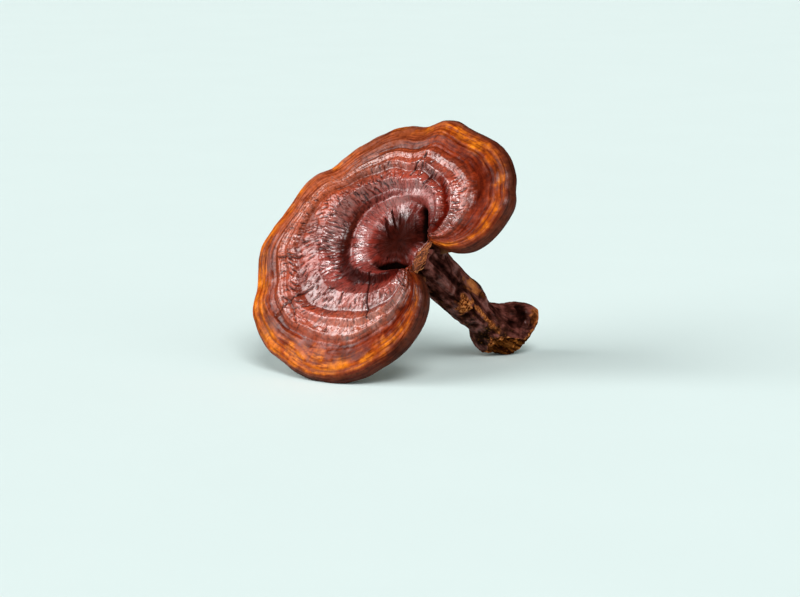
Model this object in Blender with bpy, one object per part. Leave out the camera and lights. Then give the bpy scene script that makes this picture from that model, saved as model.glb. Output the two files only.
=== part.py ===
"""A dried reishi mushroom: a kidney-shaped, ringed cap on a short gnarled stem.

Both pieces are modelled as they grew: the cap level, with its margin at height 0, and the stem
going down from the notch in the cap's side. An empty then lays the mushroom over, so that it rests
on the cap's margin and on the stem's foot. Lengths below are in millimetres.
"""

import math

import bmesh
import bpy
import numpy as np
from mathutils import Vector
from mathutils.bvhtree import BVHTree

MM = 0.001

# How the mushroom lies: turned about X, then about Z, with the notch at this place over the floor.
LAID_OVER_DEG = (65.0, 0.0, -30.0)
NOTCH_AT = (11.0, -24.8, 58.2)

# The cap's margin, seen from above, from the torn lip in the notch round by the lower lobe.
MARGIN = (
    (1.0, -2.0), (-1.0, -7.0), (0.8, -10.2), (4.8, -13.4), (8.0, -19.5), (9.0, -27.0), (7.4, -35.0),
    (4.0, -42.5), (-1.0, -49.2), (-8.5, -54.8), (-16.2, -60.2), (-25.4, -63.8), (-34.0, -64.8),
    (-43.0, -64.0), (-51.0, -61.5), (-60.2, -57.0), (-68.5, -52.5), (-75.8, -44.8), (-80.4, -36.0),
    (-80.5, -27.8), (-81.8, -20.5), (-83.8, -12.8), (-83.2, -4.8), (-80.0, 3.4), (-76.0, 10.8),
    (-72.0, 18.3), (-67.6, 26.2), (-62.0, 32.4), (-55.5, 36.3), (-48.3, 43.5), (-39.2, 50.3),
    (-29.2, 55.8), (-19.4, 58.9), (-11.0, 59.2), (-1.5, 62.4), (7.0, 61.0), (14.0, 58.0),
    (23.8, 54.6), (32.5, 48.5), (38.4, 39.8), (39.6, 32.5), (40.9, 25.5), (37.6, 16.2),
    (31.8, 7.5), (22.2, 1.8), (12.5, 2.0), (6.4, 3.6), (3.4, 4.0),
)

# The hub's edge, which runs along the clefts beside the lobes: the margin point that each of its
# points faces, and its place.
HUB_EDGE = (
    (0, -2.4, -1.0), (1, -3.6, -5.8), (2, -5.0, -8.4), (4, -8.6, -8.8), (8, -14.0, -8.9),
    (12, -19.6, -9.4), (16, -24.6, -6.6), (20, -26.6, -1.0), (24, -26.0, 6.5), (28, -21.5, 14.0),
    (32, -14.5, 19.6), (36, -6.6, 21.8), (40, -1.4, 18.2), (43, 0.2, 12.5), (45.5, 1.8, 7.4),
    (47, 0.2, 3.2),
)
HUB_CENTRE = (-12.0, 3.6)
HUB_HEIGHT = 2.2
# How deep the clefts cut at each margin point, and how wide their two walls are.
CLEFT_DEPTH = (
    (0.0, 0.0), (1.2, 2.0), (2.6, 7.0), (8.0, 7.6), (11.5, 6.6), (15.0, 1.6), (17.5, 0.0),
    (34.5, 0.0), (37.5, 2.4), (40.0, 7.4), (43.0, 8.8), (45.5, 8.4), (47.0, 2.4),
)
LOBE_WALL = 3.4
HUB_WALL = 4.6
# The pit near the hub's middle: its place, half width and depth.
PIT = ((-15.0, 6.3), 2.3, 1.8)

# The rings, from the hub's edge out to the margin's crest: the usual share of the way and height.
RING_STEPS = (
    (0.00, 4.8), (0.07, 7.4), (0.15, 7.2), (0.27, 9.6), (0.42, 9.0), (0.53, 9.4), (0.62, 7.7),
    (0.70, 8.2), (0.80, 5.6), (0.90, 6.4), (1.00, 5.2),
)
INNER_VALLEY, MIDDLE_VALLEY, OUTER_VALLEY, MARGIN_GROOVE = 2, 4, 6, 8
# Where the ring valleys are: margin point, then share of the way out and added depth of the inner
# valley, share and added depth of the middle valley, and share of the groove beside the margin.
VALLEYS = (
    (0.5, 0.20, 0.0, 0.42, 0.0, 0.66),
    (3.0, 0.20, 0.3, 0.42, 0.5, 0.66),
    (7.0, 0.20, 0.5, 0.48, 0.8, 0.72),
    (12.0, 0.17, 1.0, 0.44, 1.3, 0.75),
    (16.5, 0.22, 2.0, 0.56, 1.3, 0.82),
    (21.5, 0.24, 3.6, 0.64, 1.6, 0.87),
    (25.0, 0.29, 3.6, 0.70, 1.2, 0.88),
    (28.0, 0.33, 3.0, 0.64, 1.2, 0.85),
    (30.5, 0.24, 1.8, 0.52, 1.2, 0.80),
    (34.0, 0.14, 1.4, 0.40, 1.2, 0.74),
    (38.0, 0.17, 0.9, 0.31, 1.6, 0.72),
    (41.0, 0.18, 0.6, 0.30, 1.8, 0.69),
    (43.5, 0.18, 0.3, 0.32, 1.2, 0.69),
    (46.3, 0.20, 0.0, 0.42, 0.2, 0.66),
)
# How much of those heights stands, and how thick the rim is below the margin, by margin point.
FULLNESS = (
    (0.0, 0.20, 2.0), (1.0, 0.24, 2.0), (2.2, 0.70, 4.0), (4.0, 0.92, 5.2), (8.0, 1.0, 5.6),
    (13.0, 1.0, 4.8), (18.0, 1.0, 3.8), (34.0, 1.0, 3.4), (39.0, 1.0, 4.6), (43.0, 0.96, 4.6),
    (45.4, 0.80, 3.4), (47.0, 0.26, 2.0),
)
# Folds that run in from dents in the margin: margin point, half width in points, depth, reach in.
FOLDS = (
    (8.8, 1.2, 1.1, 0.35), (16.0, 1.4, 0.9, 0.35), (19.7, 1.4, 1.5, 0.40), (24.2, 1.2, 0.8, 0.30),
    (28.4, 1.4, 2.2, 0.60), (32.9, 1.2, 2.2, 0.55), (36.1, 1.2, 1.3, 0.50), (39.9, 0.9, 1.1, 0.35),
    (42.4, 1.0, 0.7, 0.30),
)
RIM_RADIUS = 4.4
UNDER_HOLLOW = 1.4
UNDER_BOSS = 8.5
BOSS_REACH = 30.0
STEM_UNDER = (-5.0, 0.5)

# The torn lip that stands up at the notch: its path, half width and height.
LIP = (((-1.8, -8.6), (0.4, -3.0), (1.9, 1.4)), 1.5, 3.2)

AROUND = 84
HUB_LOOPS = 8
RING_LOOPS = 27
RIM_LOOPS = 6
UNDER_LOOPS = 7

# The stem's axis going down from the cap: depth, place and radius.
STEM_AXIS = (
    (0.0, -4.6, 1.2, 10.0), (-16.0, -3.2, -2.0, 9.5), (-27.0, -2.4, -4.4, 9.3),
    (-37.0, -1.5, -6.4, 9.2), (-48.0, -0.3, -8.7, 9.1), (-58.0, 0.6, -10.8, 8.4),
    (-66.0, 1.6, -12.1, 8.5), (-72.0, 2.6, -12.9, 9.8), (-80.0, 4.8, -12.7, 11.4),
    (-87.0, 6.4, -13.1, 11.4), (-91.0, 6.9, -13.2, 11.0),
)
# Lumps and furrows on the stem: share of its length, direction in degrees, half length as a share,
# half width in degrees and height, below zero for a furrow.
STEM_LUMPS = (
    (0.10, -20.0, 0.20, 16.0, -1.6), (0.38, 8.0, 0.20, 16.0, -2.2), (0.24, -60.0, 0.24, 30.0, 0.8),
    (0.30, -120.0, 0.16, 28.0, 0.8), (0.54, 48.0, 0.08, 26.0, 1.4), (0.54, -44.0, 0.09, 24.0, 1.2),
    (0.60, 150.0, 0.16, 26.0, 1.2), (0.42, -150.0, 0.12, 30.0, -1.0), (0.69, 70.0, 0.06, 40.0, -0.8),
    (0.70, -120.0, 0.07, 40.0, -1.0), (0.30, 120.0, 0.18, 22.0, -1.2), (0.85, -130.0, 0.08, 34.0, 2.2),
    (0.82, 30.0, 0.05, 26.0, -1.4), (0.94, 60.0, 0.09, 30.0, 5.0), (0.96, 36.0, 0.07, 22.0, 2.2), (0.92, 8.0, 0.09, 18.0, -1.0),
    (0.97, -40.0, 0.10, 34.0, -2.8), (0.95, 160.0, 0.12, 40.0, 2.2),
    (0.93, -118.0, 0.06, 26.0, 1.2),
)
STEM_AROUND = 26
STEM_LOOPS = 34
FOOT_ROUNDING = 2.6
JOINT_GAP = 0.45
CLEAR_ABOUT = 1.2
STEM_TOP_AT_NOTCH = -3.0
JOIN_SHARE = 0.25
FLOOR_SIZE = 400.0

COLOURS = {
    "cap": ((0.19, 0.035, 0.016), 0.32),
    "stem": ((0.035, 0.014, 0.010), 0.45),
}


def smooth(share):
    """Runs from 0 to 1 with no slope at either end."""
    share = np.clip(share, 0.0, 1.0)
    return share * share * (3.0 - 2.0 * share)


def round_spline(knots, values, period):
    """The smooth closed curve through values at knots, as a function of the place around it."""
    knots = np.asarray(knots, float)
    values = np.asarray(values, float).reshape(len(knots), -1)
    count = len(knots)
    step = np.diff(np.append(knots, knots[0] + period))
    slopes = (np.roll(values, -1, 0) - values) / step[:, None]
    before = np.roll(step, 1)
    system = np.zeros((count, count))
    for row in range(count):
        system[row, row] = 2.0 * (before[row] + step[row])
        system[row, (row + 1) % count] += before[row]
        system[row, row - 1] += step[row]
    wanted = 3.0 * (step[:, None] * np.roll(slopes, 1, 0) + before[:, None] * slopes)
    tangents = np.linalg.solve(system, wanted)

    def at(place):
        place = (np.asarray(place, float) - knots[0]) % period + knots[0]
        index = np.clip(np.searchsorted(knots, place, "right") - 1, 0, count - 1)
        after = (index + 1) % count
        width = step[index][:, None]
        t = (place - knots[index])[:, None] / width
        return (
            values[index] * (1 + 2 * t) * (1 - t) ** 2
            + tangents[index] * width * t * (1 - t) ** 2
            + values[after] * t * t * (3 - 2 * t)
            + tangents[after] * width * t * t * (t - 1)
        )

    return at


def round_table(rows, period, column):
    """A column of a table whose first column is the place around, eased between its rows."""
    knots = np.array([row[0] for row in rows])
    values = np.array([row[column] for row in rows])

    def at(place):
        place = (np.asarray(place, float) - knots[0]) % period + knots[0]
        index = np.clip(np.searchsorted(knots, place, "right") - 1, 0, len(knots) - 1)
        after = (index + 1) % len(knots)
        width = (knots[after] - knots[index]) % period
        share = smooth((place - knots[index]) / width)
        return values[index] * (1 - share) + values[after] * share

    return at


def distance_to_path(x, y, path):
    """Distance of each point from a bent line."""
    nearest = np.full(np.shape(x), np.inf)
    for (ax, ay), (bx, by) in zip(path, path[1:]):
        along = ((x - ax) * (bx - ax) + (y - ay) * (by - ay)) / ((bx - ax) ** 2 + (by - ay) ** 2)
        along = np.clip(along, 0.0, 1.0)
        away = np.hypot(x - ax - along * (bx - ax), y - ay - along * (by - ay))
        nearest = np.minimum(nearest, away)
    return nearest


class CapForm:
    """The cap's surface by the place around it and the share of the way out across the rings."""

    def __init__(self):
        self.period = float(len(MARGIN))
        self.margin = round_spline(range(len(MARGIN)), MARGIN, self.period)
        hub_knots = [row[0] for row in HUB_EDGE]
        self.hub_edge = round_spline(hub_knots, [row[1:] for row in HUB_EDGE], self.period)
        names = ("inner_at", "inner_depth", "middle_at", "middle_depth", "groove_at")
        self.valley = {
            name: round_table(VALLEYS, self.period, column + 1)
            for column, name in enumerate(names)
        }
        self.fullness = round_table(FULLNESS, self.period, 1)
        self.below = round_table(FULLNESS, self.period, 2)
        self.cleft_depth = round_table(CLEFT_DEPTH, self.period, 1)

    def places(self, count):
        """Places around, closer together where the margin or the hub's edge is short."""
        fine = np.linspace(0.0, self.period, 2000)
        shares = []
        for curve in (self.margin, self.hub_edge):
            points = curve(fine)
            run = np.append(0.0, np.cumsum(np.linalg.norm(np.diff(points, axis=0), axis=1)))
            shares.append(run / run[-1])
        mixed = sum(shares) / len(shares)
        return np.interp(np.arange(count) / count, mixed, fine)

    def rim_start(self, place):
        """Share of the way from the hub's edge to the margin where the rounded rim begins."""
        length = np.linalg.norm(self.margin(place) - self.hub_edge(place), axis=1)
        return 1.0 - np.minimum(RIM_RADIUS, 0.42 * length) / length

    def ring_stops(self, place):
        """Share of the way out and height of each ring step at a place, a row for each step."""
        usual = np.array([step[0] for step in RING_STEPS])
        heights = np.array([step[1] for step in RING_STEPS])[:, None] * np.ones_like(place)
        fixed = {
            0: np.zeros_like(place),
            INNER_VALLEY: self.valley["inner_at"](place),
            MIDDLE_VALLEY: self.valley["middle_at"](place),
            MARGIN_GROOVE: self.valley["groove_at"](place),
            len(usual) - 1: np.ones_like(place),
        }
        heights[INNER_VALLEY] -= self.valley["inner_depth"](place)
        heights[MIDDLE_VALLEY] -= self.valley["middle_depth"](place)
        outs = np.zeros_like(heights)
        held = sorted(fixed)
        for near, far in zip(held, held[1:]):
            for step in range(near, far + 1):
                share = (usual[step] - usual[near]) / (usual[far] - usual[near])
                outs[step] = fixed[near] * (1 - share) + fixed[far] * share
        return usual, outs * self.rim_start(place), heights

    def folds(self, place, out):
        """How far the folds dip at a place, at a share of the way out."""
        dip = np.zeros_like(place)
        for at, half_width, depth, reach in FOLDS:
            away = (place - at + self.period / 2) % self.period - self.period / 2
            dip += depth * np.exp(-((away / half_width) ** 2)) * smooth((out - 1 + reach) / reach)
        return dip

    def lip(self, x, y):
        """How far the torn lip stands up."""
        path, half_width, height = LIP
        return height * np.exp(-((distance_to_path(x, y, path) / half_width) ** 2))

    def across(self, place, out):
        """Place seen from above at a share of the way from the hub's edge to the margin."""
        hub = self.hub_edge(place)
        return hub + (self.margin(place) - hub) * out[:, None]

    def top(self, place, ring):
        """Points of the top, ring running from 0 at the hub's edge to 1 where the rim begins."""
        usual, outs, heights = self.ring_stops(place)
        step = int(np.clip(np.searchsorted(usual, ring, "right") - 1, 0, len(usual) - 2))
        share = (ring - usual[step]) / (usual[step + 1] - usual[step])
        out = outs[step] * (1 - share) + outs[step + 1] * share
        eased = smooth(share)
        height = heights[step] * (1 - eased) + heights[step + 1] * eased
        flat = self.across(place, out)
        height = height * self.fullness(place) - self.folds(place, out)
        from_cleft = np.linalg.norm(flat - self.hub_edge(place), axis=1)
        height -= self.cleft_depth(place) * (1 - smooth(from_cleft / LOBE_WALL))
        height += self.lip(flat[:, 0], flat[:, 1])
        return np.column_stack([flat, height])

    def hub(self, place, out):
        """Points of the hub's basin, from its centre to its edge."""
        centre = np.array(HUB_CENTRE)
        edge = self.hub_edge(place)
        flat = centre + (edge - centre) * out
        edge_height = RING_STEPS[0][1] * self.fullness(place)
        height = HUB_HEIGHT + (edge_height - HUB_HEIGHT) * out**1.5
        from_cleft = np.linalg.norm(flat - edge, axis=1)
        height -= self.cleft_depth(place) * (1 - smooth(from_cleft / HUB_WALL))
        (pit_x, pit_y), half_width, depth = PIT
        from_pit = np.hypot(flat[:, 0] - pit_x, flat[:, 1] - pit_y)
        height += self.lip(flat[:, 0], flat[:, 1]) - depth * np.exp(-((from_pit / half_width) ** 2))
        return np.column_stack([flat, height])

    def rim(self, place, turn):
        """Points of the rounded rim: turn runs from 1 at the top by 0 at the margin to -1."""
        start = self.rim_start(place)
        flat = self.across(place, start + (1 - start) * math.cos(turn * math.pi / 2))
        top = self.top(place, 1.0)[:, 2]
        height = (top if turn > 0 else self.below(place)) * math.sin(turn * math.pi / 2)
        dent = self.folds(place, np.ones_like(place)) * 0.35 * (1 - abs(turn))
        return np.column_stack([flat, height - dent])

    def under(self, place, out):
        """Points of the underside, out from 1 at the rim to 0 under the stem."""
        start = self.rim(place, -1.0)
        centre = np.array(STEM_UNDER)
        flat = centre + (start[:, :2] - centre) * out
        away = np.linalg.norm(flat - centre, axis=1)
        boss = UNDER_BOSS * (1 - smooth(away / BOSS_REACH)) * (1 - out**4)
        height = start[:, 2] * out**2 + UNDER_HOLLOW * math.sin(out * math.pi) - boss
        height -= 3.4 * (1 - out**2)
        return np.column_stack([flat, height])


def skin(rows, top_pole, bottom_pole):
    """A closed mesh over loops of equal length between two poles, as points and faces."""
    count = len(rows[0])
    points = np.concatenate([[top_pole], *rows, [bottom_pole]])
    last = len(points) - 1
    faces = []
    for i in range(count):
        after = (i + 1) % count
        faces.append((0, 1 + i, 1 + after))
        for row in range(len(rows) - 1):
            near = 1 + row * count
            far = near + count
            faces.append((near + i, far + i, far + after, near + after))
        end = 1 + (len(rows) - 1) * count
        faces.append((end + i, last, end + after))
    return points, faces


def mesh_object(name, points, faces, parent):
    """An object from points in millimetres, its faces turned outwards, with its own material."""
    mesh = bpy.data.meshes.new(name)
    mesh.from_pydata([tuple(point) for point in points * MM], [], faces)
    work = bmesh.new()
    work.from_mesh(mesh)
    bmesh.ops.recalc_face_normals(work, faces=work.faces)
    work.to_mesh(mesh)
    work.free()
    mesh.shade_smooth()
    colour, roughness = COLOURS[name]
    material = bpy.data.materials.new(name)
    material.use_nodes = True
    shader = material.node_tree.nodes["Principled BSDF"]
    shader.inputs["Base Color"].default_value = (*colour, 1.0)
    shader.inputs["Roughness"].default_value = roughness
    shader.inputs["Metallic"].default_value = 0.0
    mesh.materials.append(material)
    thing = bpy.data.objects.new(name, mesh)
    bpy.context.scene.collection.objects.link(thing)
    thing.parent = parent
    return thing


def build_cap(parent):
    """The cap, one closed skin from the hub over the rings and the rim to the underside."""
    form = CapForm()
    place = form.places(AROUND)
    rows = [form.hub(place, i / HUB_LOOPS) for i in range(1, HUB_LOOPS)]
    rows += [form.top(place, i / RING_LOOPS) for i in range(RING_LOOPS)]
    rows += [form.rim(place, turn) for turn in np.linspace(1.0, -1.0, RIM_LOOPS + 1)]
    rows += [form.under(place, i / UNDER_LOOPS) for i in range(UNDER_LOOPS - 1, 0, -1)]
    points, faces = skin(rows, form.hub(place[:1], 0.0)[0], form.under(place[:1], 0.0)[0])
    return mesh_object("cap", points, faces, parent)


def stem_row(share):
    """One loop of the stem at a share of its length."""
    axis = np.array(STEM_AXIS)
    run = np.append(0.0, np.cumsum(np.linalg.norm(np.diff(axis[:, :3], axis=0), axis=1)))
    depth, x, y, radius = (np.interp(share * run[-1], run, axis[:, i]) for i in range(4))
    angle = np.arange(STEM_AROUND) * 2 * math.pi / STEM_AROUND
    reach = np.full(STEM_AROUND, radius)
    for at, direction, half_length, half_width, height in STEM_LUMPS:
        away = (angle - math.radians(direction) + math.pi) % (2 * math.pi) - math.pi
        spread = (away / math.radians(half_width)) ** 2 + ((share - at) / half_length) ** 2
        reach += height * np.exp(-spread)
    to_end = (1 - share) * run[-1]
    if to_end < FOOT_ROUNDING:
        reach -= FOOT_ROUNDING - math.sqrt(FOOT_ROUNDING**2 - (FOOT_ROUNDING - to_end) ** 2)
    return np.column_stack([x + reach * np.cos(angle), y + reach * np.sin(angle), depth + 0 * angle])


def fit_under(cap, points):
    """Puts each point of the stem's top just under the cap, or at the notch level with the lip."""
    tree = BVHTree.FromObject(cap, bpy.context.evaluated_depsgraph_get())
    turns = [i * math.pi / 4 for i in range(8)]
    near = [(0.0, 0.0)] + [(CLEAR_ABOUT * math.cos(a), CLEAR_ABOUT * math.sin(a)) for a in turns]
    for point in points:
        above = []
        for dx, dy in near:
            start = Vector((point[0] + dx, point[1] + dy, -60.0)) * MM
            hit, _, _, _ = tree.ray_cast(start, Vector((0, 0, 1)))
            above.append(hit.z / MM if hit else STEM_TOP_AT_NOTCH)
        point[2] = min(above) - JOINT_GAP


def build_stem(parent, cap):
    """The stem, a furrowed, lumpy tube from close under the cap to its flared, torn foot."""
    shares = np.linspace(0.0, 1.0, STEM_LOOPS)
    rows = [stem_row(share) for share in shares]
    fit_under(cap, rows[0])
    join = int(JOIN_SHARE * STEM_LOOPS)
    for row, loop in enumerate(rows[1:join], start=1):
        loop[:, 2] = rows[0][:, 2] + (rows[join][:, 2] - rows[0][:, 2]) * row / join
    middle = rows[0].mean(0)
    inner = [middle + (rows[0] - middle) * reach for reach in (0.35, 0.70)]
    top_pole = middle[None].copy()
    for points in (top_pole, *inner):
        fit_under(cap, points)
    points, faces = skin([*inner, *rows], top_pole[0], rows[-1].mean(0))
    return mesh_object("stem", points, faces, parent)


def shave_flat(piece, floor):
    """Takes off what would sink into the floor, which leaves the flat spot that the piece rests on."""
    cut = piece.modifiers.new("floor", "BOOLEAN")
    cut.operation = "DIFFERENCE"
    cut.solver = "EXACT"
    cut.object = floor


def build_floor():
    """The cutter below height 0."""
    mesh = bpy.data.meshes.new("floor")
    work = bmesh.new()
    bmesh.ops.create_cube(work, size=FLOOR_SIZE * MM)
    work.to_mesh(mesh)
    work.free()
    floor = bpy.data.objects.new("floor", mesh)
    floor.location.z = -FLOOR_SIZE * MM / 2
    floor.hide_render = True
    floor.display_type = "WIRE"
    bpy.context.scene.collection.objects.link(floor)
    return floor


def main():
    """Clears the scene and builds the mushroom, laid over as it rests."""
    for old in list(bpy.data.objects):
        bpy.data.objects.remove(old)
    stance = bpy.data.objects.new("stance", None)
    bpy.context.scene.collection.objects.link(stance)
    cap = build_cap(stance)
    stem = build_stem(stance, cap)
    stance.rotation_euler = [math.radians(angle) for angle in LAID_OVER_DEG]
    stance.location = [length * MM for length in NOTCH_AT]
    floor = build_floor()
    for piece in (cap, stem):
        shave_flat(piece, floor)


main()
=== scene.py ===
"""The looks of a dried reishi mushroom: lacquered cap, torn lip, gnarled stem, plain studio."""

from __future__ import annotations

import logging
import math
from dataclasses import dataclass, field
from enum import Enum
from typing import Optional, Sequence, Union

import bpy
import numpy as np
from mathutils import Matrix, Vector
from mathutils.bvhtree import BVHTree


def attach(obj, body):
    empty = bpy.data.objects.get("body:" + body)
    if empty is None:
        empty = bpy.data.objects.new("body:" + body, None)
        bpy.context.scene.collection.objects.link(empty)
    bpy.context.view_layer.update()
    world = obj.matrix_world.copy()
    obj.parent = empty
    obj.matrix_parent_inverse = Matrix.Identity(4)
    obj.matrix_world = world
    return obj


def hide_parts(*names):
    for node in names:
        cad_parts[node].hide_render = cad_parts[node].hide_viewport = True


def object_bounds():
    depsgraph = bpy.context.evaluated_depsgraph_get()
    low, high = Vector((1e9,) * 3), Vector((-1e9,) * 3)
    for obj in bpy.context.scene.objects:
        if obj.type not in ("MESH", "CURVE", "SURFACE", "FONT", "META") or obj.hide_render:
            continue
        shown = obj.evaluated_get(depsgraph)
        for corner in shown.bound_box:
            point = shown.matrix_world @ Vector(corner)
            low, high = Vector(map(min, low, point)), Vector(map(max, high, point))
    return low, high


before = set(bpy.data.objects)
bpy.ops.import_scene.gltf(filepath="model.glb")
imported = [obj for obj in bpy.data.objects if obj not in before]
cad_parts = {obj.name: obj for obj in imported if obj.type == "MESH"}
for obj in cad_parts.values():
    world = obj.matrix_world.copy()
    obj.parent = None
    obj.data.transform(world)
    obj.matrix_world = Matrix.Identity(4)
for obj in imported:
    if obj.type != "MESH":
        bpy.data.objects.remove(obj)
cad_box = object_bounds()
log = logging.getLogger("reishi")

Array = np.ndarray
Rows = Sequence[Sequence[float]]
Face = tuple[int, ...]
Colour = tuple[float, float, float]
Stops = tuple[tuple[float, Colour], ...]
Piece = bpy.types.Object
Socket = bpy.types.NodeSocket
Source = Union[Socket, float, Sequence[float]]
MM = 0.001
FULL_TURN = 2.0 * math.pi

# How the mushroom lies: turned about X, then about Z, with the notch at this place over the floor.
TURN_ABOUT_X_DEG, TURN_ABOUT_Z_DEG = 65.0, -30.0
NOTCH_AT = (11.0, -24.8, 58.2)


def smooth(share: Array | float) -> Array:
    """Runs from 0 to 1 with no slope at either end, and is held there beyond."""
    share = np.clip(share, 0.0, 1.0)
    return share * share * (3.0 - 2.0 * share)


def bell(away: Array, half_width: float | Array) -> Array:
    """A rounded hump, 1 at 0 and near 0 beyond twice its half width."""
    return np.exp(-((away / half_width) ** 2))


class Grain:
    """Repeatable noise on a lattice, for surfaces worked out in numpy."""

    octave_shift = (17.3, -9.1)

    def __init__(self, seed: int) -> None:
        """Keeps the seed that sets this noise apart from others."""
        self.seed = np.uint64(seed * 2654435761 + 12345)

    def corner(self, x: Array, y: Array) -> Array:
        """A well stirred number for each corner of the lattice.

        Args:
            x: whole first coordinates.
            y: whole second coordinates.

        Returns:
            Values from 0 to 1.
        """
        mixed = x.astype(np.int64).view(np.uint64) * np.uint64(0x9E3779B97F4A7C15)
        mixed ^= y.astype(np.int64).view(np.uint64) * np.uint64(0xC2B2AE3D27D4EB4F)
        mixed += self.seed
        mixed ^= mixed >> np.uint64(29)
        mixed *= np.uint64(0xBF58476D1CE4E5B9)
        mixed ^= mixed >> np.uint64(32)
        mixed *= np.uint64(0x94D049BB133111EB)
        mixed ^= mixed >> np.uint64(29)
        return (mixed >> np.uint64(40)).astype(float) / float(1 << 24)

    def at(self, x: Array, y: Array, around: int = 0) -> Array:
        """Smooth noise.

        Args:
            x: first coordinate, in lattice steps.
            y: second coordinate, in lattice steps.
            around: number of steps after which x repeats, or 0.

        Returns:
            Values from 0 to 1, mostly near 0.5.
        """
        x, y = np.broadcast_arrays(np.asarray(x, float), np.asarray(y, float))
        left, low = np.floor(x), np.floor(y)
        sx, sy = smooth(x - left), smooth(y - low)
        right = left + 1
        if around:
            left, right = left % around, right % around
        below = self.corner(left, low) * (1 - sx) + self.corner(right, low) * sx
        above = self.corner(left, low + 1) * (1 - sx) + self.corner(right, low + 1) * sx
        return below * (1 - sy) + above * sy

    def layers(self, x: Array, y: Array, count: int = 3) -> Array:
        """Noise with finer noise on it, each layer half as strong and twice as fine.

        Args:
            x: first coordinate, in steps of the coarsest layer.
            y: second coordinate, in the same steps.
            count: number of layers.

        Returns:
            Values from 0 to 1, mostly near 0.5.
        """
        total, weight = np.zeros(np.broadcast(x, y).shape), 0.0
        for layer in range(count):
            scale, strength = 2.0**layer, 0.5**layer
            shift_x, shift_y = (layer * shift for shift in self.octave_shift)
            total = total + strength * self.at(x * scale + shift_x, y * scale + shift_y)
            weight += strength
        return total / weight


class RoundCurve:
    """A smooth closed curve through points, by the place around it."""

    def __init__(self, knots: Sequence[float], points: Rows, period: float) -> None:
        """Works out the tangents of the periodic cubic through the points.

        Args:
            knots: the place around of each point.
            points: the points.
            period: the place around at which the curve closes.
        """
        self.knots, self.period = np.asarray(knots, float), period
        self.points = np.asarray(points, float)
        count = len(self.knots)
        self.step = np.diff(np.append(self.knots, self.knots[0] + period))
        slopes = (np.roll(self.points, -1, 0) - self.points) / self.step[:, None]
        before = np.roll(self.step, 1)
        system = np.zeros((count, count))
        for row in range(count):
            system[row, row] = 2.0 * (before[row] + self.step[row])
            system[row, (row + 1) % count] += before[row]
            system[row, row - 1] += self.step[row]
        leaning = self.step[:, None] * np.roll(slopes, 1, 0) + before[:, None] * slopes
        self.tangents = np.linalg.solve(system, 3.0 * leaning)

    def __call__(self, place: Array) -> Array:
        """Reads the curve.

        Args:
            place: places around.

        Returns:
            The curve's point at each place.
        """
        place = (place - self.knots[0]) % self.period + self.knots[0]
        index = np.clip(np.searchsorted(self.knots, place, "right") - 1, 0, len(self.knots) - 1)
        after = (index + 1) % len(self.knots)
        width = self.step[index][:, None]
        t = (place - self.knots[index])[:, None] / width
        return (
            self.points[index] * (1 + 2 * t) * (1 - t) ** 2
            + self.tangents[index] * width * t * (1 - t) ** 2
            + self.points[after] * t * t * (3 - 2 * t)
            + self.tangents[after] * width * t * t * (t - 1)
        )


class RoundTable:
    """Values eased between the rows of a table whose first column is the place around."""

    def __init__(self, rows: Rows, period: float, column: int = 1) -> None:
        """Keeps one column of the table.

        Args:
            rows: the table.
            period: the place around at which it repeats.
            column: the column to read.
        """
        self.knots = np.array([row[0] for row in rows], float)
        self.values = np.array([row[column] for row in rows], float)
        self.period = period

    def __call__(self, place: Array) -> Array:
        """Reads the table.

        Args:
            place: places around.

        Returns:
            The value at each place.
        """
        place = (place - self.knots[0]) % self.period + self.knots[0]
        index = np.clip(np.searchsorted(self.knots, place, "right") - 1, 0, len(self.knots) - 1)
        after = (index + 1) % len(self.knots)
        width = (self.knots[after] - self.knots[index]) % self.period
        share = smooth((place - self.knots[index]) / width)
        return self.values[index] * (1 - share) + self.values[after] * share


def distance_to_path(x: Array, y: Array, path: Rows) -> Array:
    """Distance of points from a bent line.

    Args:
        x: first coordinates.
        y: second coordinates.
        path: the line's corners.

    Returns:
        The distance of each point from the nearest stretch of the line.
    """
    nearest = np.full(np.shape(x), np.inf)
    for (ax, ay), (bx, by) in zip(path, path[1:]):
        along = ((x - ax) * (bx - ax) + (y - ay) * (by - ay)) / ((bx - ax) ** 2 + (by - ay) ** 2)
        along = np.clip(along, 0.0, 1.0)
        away = np.hypot(x - ax - along * (bx - ax), y - ay - along * (by - ay))
        nearest = np.minimum(nearest, away)
    return nearest


def wrapped(away: Array, period: float) -> Array:
    """A distance around, taken the short way and with its sign."""
    return (away + period / 2) % period - period / 2


def placed(points: Array) -> Array:
    """Turns points from the way the mushroom grew to the way it lies.

    Args:
        points: rows of three, in millimetres, with the cap level.

    Returns:
        Rows of three, in metres, in the frame.
    """
    about_x, about_z = math.radians(TURN_ABOUT_X_DEG), math.radians(TURN_ABOUT_Z_DEG)
    tip = np.eye(3)
    tip[1:, 1:] = ((math.cos(about_x), -math.sin(about_x)), (math.sin(about_x), math.cos(about_x)))
    turn = np.eye(3)
    turn[:2, :2] = ((math.cos(about_z), -math.sin(about_z)), (math.sin(about_z), math.cos(about_z)))
    return (points @ (turn @ tip).T + np.array(NOTCH_AT)) * MM


def laid_over(points: Array) -> Array:
    """The same places in the frame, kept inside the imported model's box."""
    return np.clip(placed(points), np.array(cad_box[0]), np.array(cad_box[1]))


def grid_normals(grid: Array) -> Array:
    """Outward normals of a closed-around grid of points.

    Args:
        grid: points, rows by around by three, going round so that the outside is on the right.

    Returns:
        Unit normals of the same shape.
    """
    around = np.roll(grid, -1, 1) - np.roll(grid, 1, 1)
    along = np.empty_like(grid)
    along[1:-1] = grid[2:] - grid[:-2]
    along[0], along[-1] = grid[1] - grid[0], grid[-1] - grid[-2]
    normals = np.cross(around, along)
    length = np.linalg.norm(normals, axis=2, keepdims=True)
    return normals / np.maximum(length, 1e-9)


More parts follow.
